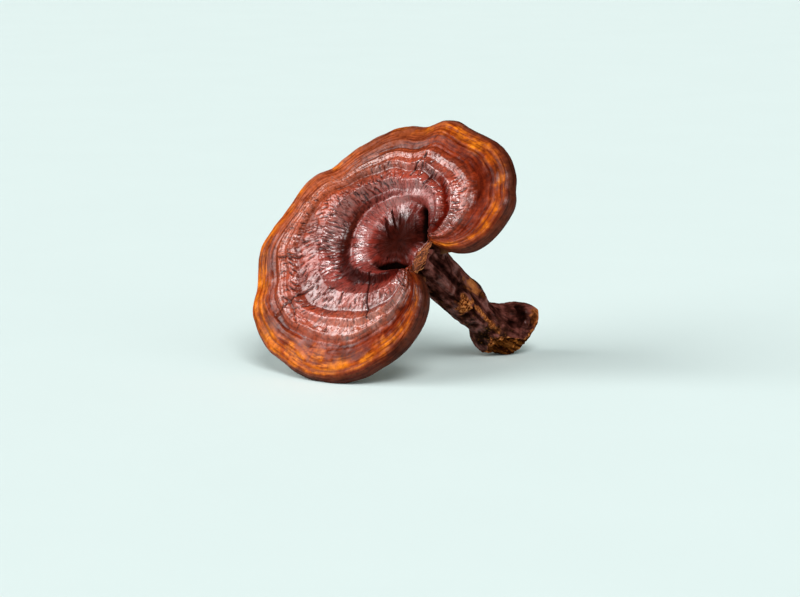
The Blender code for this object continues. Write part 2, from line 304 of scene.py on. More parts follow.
def strip_faces(first: int, count: int, after: int, after_count: int) -> list[Face]:
    """Faces between two loops, of which one may have twice as many points as the other.

    Args:
        first: index of the first point of the loop nearer the top pole.
        count: points in that loop.
        after: index of the first point of the next loop.
        after_count: points in the next loop.

    Returns:
        Quads between equal loops, otherwise triangles.
    """
    faces: list[Face] = []
    for i in range(min(count, after_count)):
        j, fine = (i + 1) % min(count, after_count), 2 * i
        if count == after_count:
            faces.append((first + i, first + j, after + j, after + i))
        elif after_count > count:
            ends = [after + (fine + step) % after_count for step in range(3)]
            faces.append((first + i, ends[1], ends[0]))
            faces.append((first + i, first + j, ends[1]))
            faces.append((first + j, ends[2], ends[1]))
        else:
            ends = [first + (fine + step) % count for step in range(3)]
            faces.append((ends[0], ends[1], after + i))
            faces.append((ends[1], after + j, after + i))
            faces.append((ends[1], ends[2], after + j))
    return faces


def mesh_piece(name: str, points: Array, faces: list[Face], fields: dict[str, Array]) -> Piece:
    """Makes a smooth-shaded piece and links it to the scene.

    Args:
        name: the piece's name.
        points: its points in millimetres, as grown.
        faces: its faces.
        fields: values for the finish, a row of one or of three for each point.

    Returns:
        The new object, at its place in the frame.
    """
    mesh = bpy.data.meshes.new(name)
    mesh.from_pydata(laid_over(points).tolist(), [], faces)
    mesh.validate()
    mesh.shade_smooth()
    for label, values in fields.items():
        kind, key = ("FLOAT", "value") if values.shape[1] == 1 else ("FLOAT_VECTOR", "vector")
        store = mesh.attributes.new(label, kind, "POINT")
        store.data.foreach_set(key, values.astype(np.float32).reshape(-1))
    piece = bpy.data.objects.new(name, mesh)
    bpy.context.scene.collection.objects.link(piece)
    return piece


def skin_piece(
    name: str, grid: Array, fields: dict[str, Array], coarse: Optional[Sequence[bool]] = None
) -> Piece:
    """Makes a closed piece over a grid of loops, with a pole at each end.

    Args:
        name: the piece's name.
        grid: points in millimetres as grown, rows by around by three.
        fields: values for the finish, rows by around, or rows by around by three.
        coarse: for each row, whether it keeps only every other point, if any row does.

    Returns:
        The new object, at its place in the frame.
    """
    skips = coarse or [False] * len(grid)
    keep = [slice(None, None, 2 if skip else 1) for skip in skips]

    def gathered(values: Array) -> Array:
        """The kept values of each row, with the means of the end rows at the poles."""
        rows = [row[kept] for row, kept in zip(values, keep)]
        return np.concatenate([[values[0].mean(0)], *rows, [values[-1].mean(0)]])

    wide = {label: values.reshape(*grid.shape[:2], -1) for label, values in fields.items()}
    wide = {label: gathered(values) for label, values in wide.items()}
    counts = [len(row[kept]) for row, kept in zip(grid, keep)]
    starts = [1 + sum(counts[:row]) for row in range(len(counts))]
    last = 1 + sum(counts)
    faces: list[Face] = [(0, 1 + (i + 1) % counts[0], 1 + i) for i in range(counts[0])]
    for row in range(len(counts) - 1):
        faces += strip_faces(starts[row], counts[row], starts[row + 1], counts[row + 1])
    for i in range(counts[-1]):
        faces.append((starts[-1] + i, starts[-1] + (i + 1) % counts[-1], last))
    return mesh_piece(name, gathered(grid), faces, wide)


def linear(colour: Colour) -> tuple[float, float, float, float]:
    """The linear light that a shader takes for a screen colour.

    Args:
        colour: red, green and blue of 0 to 255.

    Returns:
        Red, green, blue and full cover.
    """
    shares = [value / 255.0 for value in colour]
    made = [v / 12.92 if v <= 0.04045 else ((v + 0.055) / 1.055) ** 2.4 for v in shares]
    return (made[0], made[1], made[2], 1.0)


class Blend(Enum):
    """How two colours go together."""

    OVER = "MIX"
    DARKEN = "MULTIPLY"


class Sum(Enum):
    """What is worked out from one or two numbers."""

    PLUS = "ADD"
    MINUS = "SUBTRACT"
    TIMES = "MULTIPLY"
    PART = "DIVIDE"
    SIZE = "ABSOLUTE"


class NodeBoard:
    """One material and the nodes that it is made from."""

    def __init__(self, name: str) -> None:
        """Starts a material with its shader and output.

        Args:
            name: the material's name.
        """
        self.material = bpy.data.materials.new(name)
        self.material.use_nodes = True
        self.tree = self.material.node_tree
        self.tree.nodes.clear()
        self.shader = self.tree.nodes.new("ShaderNodeBsdfPrincipled")
        output = self.tree.nodes.new("ShaderNodeOutputMaterial")
        self.tree.links.new(self.shader.outputs["BSDF"], output.inputs["Surface"])

    def feed(self, socket: Socket, source: Source) -> None:
        """Links a socket to another, or sets its value.

        Args:
            socket: the socket that takes it.
            source: another socket, or a value.
        """
        if isinstance(source, Socket):
            self.tree.links.new(source, socket)
        else:
            socket.default_value = source

    def put(self, label: str, source: Source) -> None:
        """Feeds one of the shader's own sockets."""
        self.feed(self.shader.inputs[label], source)

    def node(
        self, kind: str, output: str | int, inputs: dict[str | int, Source], **options: str
    ) -> Socket:
        """Adds a node.

        Args:
            kind: what it is.
            output: which of its outputs is wanted.
            inputs: what goes into each of its sockets.
            options: the node's own settings.

        Returns:
            The output.
        """
        node = self.tree.nodes.new("ShaderNode" + kind)
        for option, value in options.items():
            setattr(node, option, value)
        for socket, source in inputs.items():
            self.feed(node.inputs[socket], source)
        return node.outputs[output]

    def number(self, label: str) -> Socket:
        """A number that the mesh carries at each point."""
        return self.node("Attribute", "Fac", {}, attribute_name=label)

    def vector(self, label: str) -> Socket:
        """Three numbers that the mesh carries at each point."""
        return self.node("Attribute", "Vector", {}, attribute_name=label)

    def millimetres(self) -> Socket:
        """Place on the piece in millimetres."""
        return self.stretched(self.node("TexCoord", "Object", {}), (1.0 / MM, 1.0 / MM, 1.0 / MM))

    def stretched(self, vector: Source, scale: Sequence[float]) -> Socket:
        """A vector scaled along each axis."""
        return self.node("Mapping", "Vector", {"Vector": vector, "Scale": scale})

    def sum(self, kind: Sum, a: Source, b: Source = 0.0) -> Socket:
        """One number worked out from one or two."""
        return self.node("Math", 0, {0: a, 1: b}, operation=kind.value)

    def plus(self, a: Source, b: Source) -> Socket:
        """Both numbers together."""
        return self.sum(Sum.PLUS, a, b)

    def minus(self, a: Source, b: Source) -> Socket:
        """The first number less the second."""
        return self.sum(Sum.MINUS, a, b)

    def times(self, a: Source, b: Source) -> Socket:
        """The first number times the second."""
        return self.sum(Sum.TIMES, a, b)

    def spread(
        self, value: Source, low: float, high: float, to: Sequence[float] = (0.0, 1.0)
    ) -> Socket:
        """A value moved smoothly from one range to another.

        Args:
            value: what is moved.
            low: the value that gives the first end.
            high: the value that gives the second end.
            to: the two ends.

        Returns:
            The moved value, held between the ends.
        """
        inputs = {"Value": value, "From Min": low, "From Max": high}
        inputs.update({"To Min": to[0], "To Max": to[1]})
        return self.node("MapRange", "Result", inputs, interpolation_type="SMOOTHSTEP")

    def noise(
        self, vector: Source, scale: float, detail: float = 3.0, rough: float = 0.55
    ) -> Socket:
        """Cloudy noise.

        Args:
            vector: where it is read.
            scale: how many clouds to a unit.
            detail: how many finer layers it has.
            rough: how strong the finer layers are.

        Returns:
            The noise, near 0.5 on average.
        """
        inputs = {"Vector": vector, "Scale": scale, "Detail": detail, "Roughness": rough}
        return self.node("TexNoise", "Fac", inputs)

    def cells(self, vector: Source, scale: float) -> Socket:
        """Distance from the middle of the nearest of many scattered cells."""
        return self.node("TexVoronoi", "Distance", {"Vector": vector, "Scale": scale})

    def ramp(self, value: Source, stops: Sequence[tuple[float, Colour]]) -> Socket:
        """Colours along a value of 0 to 1.

        Args:
            value: the value.
            stops: where each colour is, and the colour.

        Returns:
            The colour.
        """
        node = self.tree.nodes.new("ShaderNodeValToRGB")
        band = node.color_ramp
        while len(band.elements) < len(stops):
            band.elements.new(0.5)
        for element, (at, colour) in zip(band.elements, stops):
            element.position = at
            element.color = linear(colour)
        self.feed(node.inputs["Fac"], value)
        return node.outputs["Color"]

    def mix(
        self, share: Source, a: Socket | Colour, b: Socket | Colour, how: Blend = Blend.OVER
    ) -> Socket:
        """Two colours mixed by a share.

        Args:
            share: how much of the second is taken.
            a: the first colour.
            b: the second colour.
            how: how they go together.

        Returns:
            The mixed colour.
        """
        first, second = (ink if isinstance(ink, Socket) else linear(ink) for ink in (a, b))
        inputs = {0: share, 6: first, 7: second}
        return self.node("Mix", 2, inputs, data_type="RGBA", blend_type=how.value)

    def between(self, share: Source, a: Source, b: Source) -> Socket:
        """Two numbers mixed by a share."""
        return self.node("Mix", 0, {0: share, 2: a, 3: b})

    def bump(self, height: Source, depth_mm: float, under: Optional[Socket] = None) -> Socket:
        """A bumped normal.

        Args:
            height: height of 0 to 1.
            depth_mm: how deep a height of 1 is.
            under: a bump that this one lies on.

        Returns:
            The normal.
        """
        inputs = {"Strength": 1.0, "Distance": depth_mm * MM, "Height": height}
        if under is not None:
            inputs["Normal"] = under
        return self.node("Bump", "Normal", inputs)

    def dress(self, piece: Piece) -> None:
        """Puts the material on a piece."""
        piece.data.materials.clear()
        piece.data.materials.append(self.material)


@dataclass(frozen=True)
class LacquerFinish:
    """Hard, glossy lacquer over maroon and amber flesh, with a matt, pored underside."""

    roughness: float = 0.55
    underside_roughness: float = 0.85
    coat_roughness: float = 0.22
    coat_ior: float = 2.2
    plain_gloss: float = 0.01
    skin_depth: float = 0.10
    pore_depth: float = 0.12
    pores_per_mm: float = 2.6
    # Lengths once around between which whatever runs outwards goes over to its spacing far out,
    # and that spacing near and far out: how often around, twice, and how often along.
    spacing_changes: tuple[float, float] = (140.0, 300.0)
    streak_spacing: Rows = ((26.0, 26.0, 0.16), (58.0, 58.0, 0.2))
    hair_spacing: Rows = ((17.0, 17.0, 0.22), (34.0, 34.0, 0.26))
    crease_spacing: Rows = ((34.0, 34.0, 0.3), (76.0, 76.0, 0.36))
    band_spacing: Sequence[float] = (6.0, 6.0, 34.0)
    # The dark stops at 0.09 and 0.15 are partly the lacquer's own dark maroon, partly painted shade
    # in the inner valley.
    zones: Stops = (
        (-1.0, (44, 11, 6)), (-0.6, (50, 13, 7)), (-0.35, (74, 20, 13)), (-0.15, (124, 38, 28)),
        (0.0, (156, 64, 54)), (0.06, (140, 52, 44)), (0.09, (64, 13, 8)), (0.15, (66, 14, 9)),
        (0.18, (146, 54, 44)), (0.30, (166, 62, 44)), (0.39, (168, 66, 46)), (0.42, (140, 42, 18)),
        (0.46, (150, 52, 26)), (0.52, (176, 70, 46)), (0.62, (174, 70, 42)), (0.70, (164, 66, 34)),
        (0.80, (150, 56, 22)), (0.88, (150, 60, 22)), (0.96, (150, 64, 24)), (1.04, (132, 56, 23)),
        (1.16, (100, 43, 20)), (1.30, (72, 31, 16)), (1.42, (96, 56, 32)), (1.5, (150, 104, 66)),
        (1.62, (176, 132, 90)), (2.0, (150, 108, 70)),
    )
    # Shades that the colour beneath is multiplied by.
    streak_shades: Stops = ((0.30, (138, 120, 112)), (0.50, (255, 255, 255)))
    band_shades: Stops = ((0.38, (136, 76, 54)), (0.50, (255, 255, 255)))
    mottle_shades: Stops = (
        (0.28, (150, 134, 128)), (0.52, (236, 232, 230)), (0.72, (255, 255, 255)),
    )
    # Painted shade for where the relief is low.
    dent_painted_shade: Colour = (60, 18, 10)
    # The pale and lilac tints are painted highlights: pale on the rim's edge, lilac on the crests
    # and the inner groove.
    tints: tuple[tuple[str, Colour], ...] = (
        ("warm", (178, 88, 48)), ("pale", (198, 124, 98)), ("lilac", (158, 78, 72)),
        ("deep", (96, 16, 6)),
    )
    rust_red: Colour = (104, 32, 12)
    furrow_brown: Colour = (100, 28, 12)
    amber: Colour = (226, 126, 24)
    amber_deep: Colour = (176, 76, 12)
    # Partly the rim's own dark brown, partly painted shade.
    rim_brown_and_shade: Colour = (84, 38, 22)
    # Painted shade, black in the clefts and the hollows beside them.
    cleft_shade: Colour = (16, 6, 4)
    # Painted shade in the slits and cracks, lighter on the margin.
    crack_shade: Colour = (44, 12, 8)
    margin_crack_shade: Colour = (110, 44, 16)
    pore_colour: Colour = (108, 70, 42)

    def outward(
        self, board: NodeBoard, spacing: Rows, detail: float, rough: float = 0.55
    ) -> Socket:
        """Noise drawn out away from the hub, about as wide everywhere.

        Args:
            board: the material's board.
            spacing: its scales near the hub and far out.
            detail: how many finer layers it has.
            rough: how strong the finer layers are.

        Returns:
            The noise.
        """
        place = board.vector("outward")
        near, far = (
            board.noise(board.stretched(place, scale), 1.0, detail, rough) for scale in spacing
        )
        return board.between(board.spread(board.number("width"), *self.spacing_changes), near, far)

    def margin(self, board: NodeBoard, ring: Source) -> Socket:
        """1 on the outer rings and the rim, 0 inside them and underneath."""
        return board.times(board.spread(ring, 0.68, 0.82), board.spread(ring, 1.45, 1.3))

    def bands(self, board: NodeBoard) -> Socket:
        """Narrow, broken rings on the margin."""
        return board.noise(board.stretched(board.vector("ringwise"), self.band_spacing), 1.0)

    def hairs(self, board: NodeBoard) -> Socket:
        """Hair cracks that run outwards.

        Args:
            board: the material's board.

        Returns:
            1 on a crack, 0 beside it.
        """
        ring = board.number("ring")
        away = board.sum(Sum.SIZE, board.minus(self.outward(board, self.hair_spacing, 2.0), 0.5))
        where = board.spread(board.noise(board.millimetres(), 0.3, 2.0), 0.4, 0.56)
        zone = board.times(board.spread(ring, 0.92, 0.7), board.spread(ring, -0.6, -0.3))
        return board.times(board.spread(away, 0.03, 0.006), board.times(where, zone))

    def zoned(self, board: NodeBoard, ring: Source) -> Socket:
        """Colour by ring, with the patches that stand out from their ring.

        Args:
            board: the material's board.
            ring: the ring of each point.

        Returns:
            The colour.
        """
        share = board.sum(Sum.PART, board.plus(ring, 1.0), 3.0)
        colour = board.ramp(share, [((at + 1.0) / 3.0, tone) for at, tone in self.zones])
        # The pale and lilac tints are painted highlights.
        for label, tone in self.tints:
            colour = board.mix(board.number(label), colour, tone)
        return colour

    def aged(self, board: NodeBoard, colour: Socket, ring: Source, cloud: Source) -> Socket:
        """Lays streaks, painted shade in hair cracks, amber, rust and the dark margin over the
        zones.

        Args:
            board: the material's board.
            colour: the colour of the zones.
            ring: the ring of each point.
            cloud: cloudy noise that the amber varies with.

        Returns:
            The colour.
        """
        streak = self.outward(board, self.streak_spacing, 3.0)
        shades = board.ramp(streak, self.streak_shades)
        colour = board.mix(board.spread(ring, 0.95, 0.7, (0.2, 0.7)), colour, shades, Blend.DARKEN)
        # Painted shade darkens the hair cracks.
        colour = board.mix(board.times(self.hairs(board), 0.55), colour, self.crack_shade)
        honey = board.mix(board.spread(cloud, 0.35, 0.65), self.amber_deep, self.amber)
        amber = board.times(board.number("amber"), board.spread(streak, 0.22, 0.5, (0.45, 1.0)))
        colour = board.mix(amber, colour, honey)
        colour = board.mix(board.times(board.number("rust"), 0.8), colour, self.rust_red)
        # Dark brown over the lower rim and the underside by the notch: partly its own, partly
        # painted shade.
        return board.mix(board.number("old"), colour, self.rim_brown_and_shade)

    def lined(self, board: NodeBoard, colour: Socket, ring: Source) -> Socket:
        """Lays the ring lines and mottles over the colour, then painted shade in the dents and
        cracks.

        Args:
            board: the material's board.
            colour: the colour beneath.
            ring: the ring of each point.

        Returns:
            The colour.
        """
        shades = board.ramp(self.bands(board), self.band_shades)
        colour = board.mix(board.times(self.margin(board, ring), 0.7), colour, shades, Blend.DARKEN)
        furrow = board.times(board.number("furrow"), board.spread(ring, 0.66, 0.8, (0.3, 0.85)))
        colour = board.mix(furrow, colour, self.furrow_brown)
        mottle = board.noise(board.millimetres(), 0.55, 5.0, 0.62)
        colour = board.mix(0.75, colour, board.ramp(mottle, self.mottle_shades), Blend.DARKEN)
        # Painted shade: darker where the relief is low.
        dent = board.times(board.spread(board.number("tone"), 0.5, 0.1), 0.4)
        colour = board.mix(dent, colour, self.dent_painted_shade, Blend.DARKEN)
        # Painted shade darkens the slits and cracks, by how deep each point lies in one.
        dark = board.mix(board.spread(ring, 0.72, 0.92), self.crack_shade, self.margin_crack_shade)
        crack = board.spread(board.number("crack"), 0.1, 0.7, (0.0, 0.9))
        return board.mix(crack, colour, dark)

    def tinted(self, board: NodeBoard, pores: Source, beneath: Source) -> Socket:
        """Colour of the whole cap.

        Args:
            board: the material's board.
            pores: 0 in a pore and 1 beside it.
            beneath: 1 on the underside.

        Returns:
            The colour.
        """
        cloud = board.noise(board.millimetres(), 0.16, 4.0)
        ring = board.plus(board.number("ring"), board.times(board.minus(cloud, 0.5), 0.06))
        colour = self.aged(board, self.zoned(board, ring), ring, cloud)
        colour = self.lined(board, colour, ring)
        # Painted shade: black in the clefts and the hollows beside them.
        colour = board.mix(board.number("cleft"), colour, self.cleft_shade)
        pored = board.mix(pores, self.pore_colour, colour)
        return board.mix(board.times(beneath, 0.7), colour, pored)

    def relief(self, board: NodeBoard, ring: Source, hairs: Source) -> Socket:
        """Height of what is too fine for the mesh: creases, grain, hair cracks, bands.

        Args:
            board: the material's board.
            ring: the ring of each point.
            hairs: 1 on a hair crack.

        Returns:
            The height.
        """
        creased = self.outward(board, self.crease_spacing, 4.0, 0.6)
        creased = board.times(creased, board.spread(ring, 1.0, 0.45, (0.2, 1.0)))
        creased = board.times(creased, board.spread(ring, -0.7, -0.2))
        grain = board.times(board.noise(board.millimetres(), 1.2, 3.0, 0.5), 0.5)
        ringed = board.times(self.bands(board), self.margin(board, ring))
        return board.plus(board.minus(board.plus(creased, grain), hairs), ringed)

    def board(self) -> NodeBoard:
        """Builds the material.

        Returns:
            The board that it is on.
        """
        board = NodeBoard("lacquered cap")
        place, ring = board.millimetres(), board.number("ring")
        beneath = board.spread(ring, 1.46, 1.6)
        pores = board.spread(board.cells(place, self.pores_per_mm), 0.2, 0.42)
        board.put("Base Color", self.tinted(board, pores, beneath))
        uneven = board.spread(board.noise(place, 1.1), 0.3, 0.7, (-0.08, 0.1))
        ends = (self.roughness, self.underside_roughness)
        board.put("Roughness", board.plus(uneven, board.spread(ring, 1.35, 1.55, ends)))
        hairs = self.hairs(board)
        unbroken = board.minus(1.0, board.times(hairs, 0.8))
        board.put("Coat Weight", board.times(board.number("satin"), unbroken))
        board.put("Coat Roughness", self.coat_roughness)
        board.put("Coat IOR", self.coat_ior)
        board.put("Specular IOR Level", self.plain_gloss)
        skin = board.bump(self.relief(board, ring, hairs), self.skin_depth)
        board.put("Normal", board.bump(board.times(pores, beneath), self.pore_depth, skin))
        board.put("Coat Normal", skin)
        return board


@dataclass(frozen=True)
class RindFinish:
    """Dark, waxy stem rind with ochre, fibrous flesh where it is worn or torn."""

    rind_roughness: float = 0.6
    flesh_roughness: float = 0.9
    coat: float = 0.32
    coat_roughness: float = 0.24
    coat_ior: float = 1.5
    plain_gloss: float = 0.0
    skin_depth: float = 0.22
    # How often the noises that run along the stem repeat around, twice, and along.
    streak_spacing: Sequence[float] = (4.0, 4.0, 0.1)
    strand_spacing: Sequence[float] = (7.0, 7.0, 0.12)
    fibre_spacing: Sequence[float] = (11.0, 11.0, 0.3)
    rind: Stops = (
        (0.33, (16, 6, 4)), (0.44, (54, 24, 19)), (0.54, (100, 52, 45)), (0.68, (134, 80, 72)),
    )
    torn_flesh: Stops = (
        (0.37, (34, 14, 7)), (0.46, (104, 50, 22)), (0.55, (182, 104, 52)), (0.68, (222, 154, 98)),
    )
    foot_flesh: Stops = (
        (0.36, (34, 15, 8)), (0.46, (98, 46, 18)), (0.54, (190, 108, 44)), (0.66, (222, 150, 82)),
    )
    old_rind: Colour = (30, 17, 10)
    speckles: Colour = (160, 100, 46)
    smooth_flesh: Colour = (190, 112, 64)
    streaked_flesh: Colour = (132, 66, 32)
    # Painted shade for where the relief is low.
    dent_painted_shade: Colour = (44, 18, 10)

    def rind_colour(self, board: NodeBoard, streak: Source, cloud: Source) -> Socket:
        """Colour of the rind, with its old, speckled patches.

        Args:
            board: the material's board.
            streak: noise that runs along the stem.
            cloud: cloudy noise.

        Returns:
            The colour.
        """
        tone = board.plus(board.times(streak, 0.5), board.times(cloud, 0.5))
        colour = board.ramp(tone, self.rind)
        old = board.times(board.spread(cloud, 0.62, 0.42), board.number("old"))
        colour = board.mix(old, colour, self.old_rind)
        speckle = board.spread(board.noise(board.millimetres(), 0.7, 4.0, 0.6), 0.55, 0.68)
        return board.mix(board.times(board.times(speckle, old), 0.6), colour, self.speckles)

    def flesh_colour(self, board: NodeBoard, streak: Source, rough: Source) -> Socket:
        """Colour of the flesh, worn smooth, torn, or in strands at the foot.

        Args:
            board: the material's board.
            streak: noise that runs along the stem.
            rough: how torn the flesh is.

        Returns:
            The colour.
        """
        shreds = board.noise(board.millimetres(), 0.8, 6.0, 0.65)
        strands = board.stretched(board.vector("outward"), self.strand_spacing)
        strands = board.times(board.noise(strands, 1.0, 4.0, 0.6), 0.7)
        strands = board.ramp(board.plus(strands, board.times(shreds, 0.3)), self.foot_flesh)
        torn = board.mix(board.number("torn_off"), board.ramp(shreds, self.torn_flesh), strands)
        worn = board.mix(board.spread(streak, 0.3, 0.7), self.streaked_flesh, self.smooth_flesh)
        return board.mix(rough, worn, torn)

    def board(self) -> NodeBoard:
        """Builds the material.

        Returns:
            The board that it is on.
        """
        board = NodeBoard("stem rind")
        place, outward = board.millimetres(), board.vector("outward")
        bare, rough, tone = board.number("bare"), board.number("rough"), board.number("tone")
        streak = board.noise(board.stretched(outward, self.streak_spacing), 1.0, 5.0, 0.6)
        cloud = board.noise(place, 0.22, 4.0)
        colour = self.rind_colour(board, streak, cloud)
        colour = board.mix(bare, colour, self.flesh_colour(board, streak, rough))
        # Painted shade: darker where the relief is low.
        dent = board.times(board.spread(tone, 0.5, 0.0), 0.75)
        board.put("Base Color", board.mix(dent, colour, self.dent_painted_shade, Blend.DARKEN))
        usual = board.between(bare, self.rind_roughness, self.flesh_roughness)
        board.put("Roughness", board.plus(usual, board.spread(cloud, 0.3, 0.7, (-0.06, 0.08))))
        waxy = board.times(board.spread(cloud, 0.40, 0.62), board.spread(bare, 0.6, 0.0))
        waxy = board.times(waxy, board.spread(tone, 0.2, 0.6))
        board.put("Coat Weight", board.times(waxy, self.coat))
        board.put("Coat Roughness", self.coat_roughness)
        board.put("Coat IOR", self.coat_ior)
        board.put("Specular IOR Level", self.plain_gloss)
        fibres = board.noise(board.stretched(outward, self.fibre_spacing), 1.0, 4.0, 0.6)
        grain = board.times(board.noise(place, 2.2, 4.0, 0.65), board.plus(0.2, rough))
        board.put("Normal", board.bump(board.plus(fibres, grain), self.skin_depth))
        return board


@dataclass(frozen=True)
class TornFinish:
    """Dry orange-brown fibres of torn flesh."""

    roughness: float = 0.7
    dry_roughness: float = 0.9
    skin_depth: float = 0.12
    tones: Stops = (
        (0.1, (36, 14, 7)), (0.4, (104, 46, 19)), (0.65, (176, 94, 42)), (0.9, (224, 150, 92)),
    )

    def board(self) -> NodeBoard:
        """Builds the material.

        Returns:
            The board that it is on.
        """
        board = NodeBoard("torn flesh")
        place = board.millimetres()
        mottle = board.noise(place, 1.4, 4.0)
        tone = board.plus(board.times(board.number("tone"), 0.6), board.times(mottle, 0.5))
        board.put("Base Color", board.ramp(tone, self.tones))
        ends = (self.roughness, self.dry_roughness)
        board.put("Roughness", board.spread(mottle, 0.3, 0.7, ends))
        board.put("Normal", board.bump(board.noise(place, 4.0), self.skin_depth))
        return board


@dataclass(frozen=True)
class FloorFinish:
    """Pale, matt paint of a studio floor."""

    colour: Colour = (217, 232, 230)
    paler: Colour = (220, 235, 233)
    roughness: float = 0.9

    def board(self) -> NodeBoard:
        """Builds the material.

        Returns:
            The board that it is on.
        """
        board = NodeBoard("studio floor")
        cloud = board.noise(board.millimetres(), 0.01, 4.0)
        board.put("Base Color", board.mix(cloud, self.colour, self.paler))
        board.put("Roughness", self.roughness)
        return board


Finish = Union[LacquerFinish, RindFinish, TornFinish, FloorFinish]


class Dressed:
    """Something that is dressed in its own finish."""

    finish: Finish

    def dress(self, piece: Piece) -> None:
        """Puts the finish on a mesh."""
        self.finish.board().dress(piece)


# The cap as it grew, level, seen from above, in millimetres from its notch. The place around is
# counted in the margin's points, from the lobe on one side of the notch to that on the other.
MARGIN = (
    (1.0, -2.0), (-1.0, -7.0), (0.8, -10.2), (4.8, -13.4), (8.0, -19.5), (9.0, -27.0), (7.4, -35.0),
    (4.0, -42.5), (-1.0, -49.2), (-8.5, -54.8), (-16.2, -60.2), (-25.4, -63.8), (-34.0, -64.8),
    (-43.0, -64.0), (-51.0, -61.5), (-60.2, -57.0), (-68.5, -52.5), (-75.8, -44.8), (-80.4, -36.0),
    (-80.5, -27.8), (-81.8, -20.5), (-83.8, -12.8), (-83.2, -4.8), (-80.0, 3.4), (-76.0, 10.8),
    (-72.0, 18.3), (-67.6, 26.2), (-62.0, 32.4), (-55.5, 36.3), (-48.3, 43.5), (-39.2, 50.3),
    (-29.2, 55.8), (-19.4, 58.9), (-11.0, 59.2), (-1.5, 62.4), (7.0, 61.0), (14.0, 58.0),
    (23.8, 54.6), (32.5, 48.5), (38.4, 39.8), (39.6, 32.5), (40.9, 25.5), (37.6, 16.2),
    (31.8, 7.5), (22.2, 1.8), (12.5, 2.0), (6.4, 3.6), (3.4, 4.0),
)
# The edge of the hub: place around, and where it is.
HUB_EDGE = (
    (0, -2.4, -1.0), (1, -3.6, -5.8), (2, -5.0, -8.4), (4, -8.6, -8.8), (8, -14.0, -8.9),
    (12, -19.6, -9.4), (16, -24.6, -6.6), (20, -26.6, -1.0), (24, -26.0, 6.5), (28, -21.5, 14.0),
    (32, -14.5, 19.6), (36, -6.6, 21.8), (40, -1.4, 18.2), (43, 0.2, 12.5), (45.5, 1.8, 7.4),
    (47, 0.2, 3.2),
)
# How deep the two clefts beside the hub are: place around, depth.
CLEFT_DEPTH = (
    (0.0, 0.0), (1.2, 2.0), (2.6, 7.0), (8.0, 7.6), (11.5, 6.6), (15.0, 1.6), (17.5, 0.0),
    (34.5, 0.0), (37.5, 2.4), (40.0, 7.4), (43.0, 8.8), (45.5, 8.4), (47.0, 2.4),
)
# Usual share of the way out and height of each step across the rings, and which steps are the
# valleys that the next table moves.
RING_STEPS = (
    (0.00, 4.8), (0.07, 7.4), (0.15, 7.2), (0.27, 9.6), (0.42, 9.0), (0.53, 9.4), (0.62, 7.7),
    (0.70, 8.2), (0.80, 5.6), (0.90, 6.4), (1.00, 5.2),
)
INNER_VALLEY, MIDDLE_VALLEY, MARGIN_GROOVE = 2, 4, 8
# Place around; where the inner valley is and how much deeper; the same of the middle one; where
# the groove inside the margin is.
VALLEYS = (
    (0.5, 0.20, 0.0, 0.42, 0.0, 0.66), (3.0, 0.20, 0.3, 0.42, 0.5, 0.66),
    (7.0, 0.20, 0.5, 0.48, 0.8, 0.72), (12.0, 0.17, 1.0, 0.44, 1.3, 0.75),
    (16.5, 0.22, 2.0, 0.56, 1.3, 0.82), (21.5, 0.24, 3.6, 0.64, 1.6, 0.87),
    (25.0, 0.29, 3.6, 0.70, 1.2, 0.88), (28.0, 0.33, 2.8, 0.64, 1.2, 0.85),
    (30.5, 0.24, 1.2, 0.52, 1.2, 0.80), (34.0, 0.14, -0.2, 0.40, 1.2, 0.74),
    (38.0, 0.17, -0.6, 0.31, 1.8, 0.72), (41.0, 0.18, -0.6, 0.30, 2.0, 0.69),
    (43.5, 0.18, -0.3, 0.32, 1.3, 0.69), (46.3, 0.20, 0.0, 0.42, 0.2, 0.66),
)
# Place around, how much of its full height the top has, and how thick the cap is below.
FULLNESS = (
    (0.0, 0.20, 2.0), (1.0, 0.24, 2.0), (2.2, 0.70, 4.0), (4.0, 0.92, 5.2), (8.0, 1.0, 5.6),
    (13.0, 1.0, 4.8), (18.0, 1.0, 3.8), (34.0, 1.0, 3.4), (39.0, 1.0, 4.6), (43.0, 0.96, 4.6),
    (45.4, 0.80, 3.4), (47.0, 0.26, 2.0),
)
# Folds of the margin: place around, half width, depth, and how far in they reach.
FOLDS = (
    (8.8, 1.2, 1.1, 0.35), (16.0, 1.4, 0.9, 0.35), (19.7, 1.4, 1.5, 0.40), (24.2, 1.2, 0.8, 0.30),
    (28.4, 1.4, 2.2, 0.60), (32.9, 1.2, 2.2, 0.55), (36.1, 1.2, 1.3, 0.50), (39.9, 0.9, 1.1, 0.35),
    (42.4, 1.0, 0.7, 0.30),
)
# The amber margin: place around, how amber it is, and the rings at which it begins and ends.
AMBER = (
    (0.0, 0.0, 0.90, 1.10), (2.0, 0.1, 0.92, 1.08), (4.0, 0.4, 0.92, 1.02),
    (6.0, 0.68, 0.89, 1.02), (9.0, 0.82, 0.88, 1.04), (12.0, 0.96, 0.85, 1.07),
    (15.0, 1.0, 0.83, 1.11), (18.0, 1.0, 0.85, 1.16), (22.0, 0.7, 0.90, 1.24),
    (26.0, 0.35, 0.97, 1.24), (30.0, 0.25, 1.0, 1.22), (33.0, 0.4, 0.96, 1.20),
    (35.0, 0.7, 0.88, 1.08), (38.0, 0.78, 0.88, 1.04), (41.0, 0.6, 0.89, 1.02),
    (43.5, 0.45, 0.90, 1.03), (45.5, 0.3, 0.9, 1.10), (47.0, 0.1, 0.9, 1.10),
)
# How satin the lacquer is from the hub's middle, at -1, to the underside, at 2.
SATIN = (
    (-1.0, 0.0), (-0.4, 0.01), (-0.1, 0.12), (-0.02, 0.7), (0.05, 0.7), (0.08, 0.05),
    (0.15, 0.04), (0.19, 0.68), (0.38, 0.70), (0.42, 0.3), (0.47, 0.45), (0.52, 0.75), (0.70, 0.72),
    (0.78, 0.38), (0.88, 0.14), (0.96, 0.06), (1.1, 0.06), (1.3, 0.07), (1.5, 0.0), (2.0, 0.0),
)
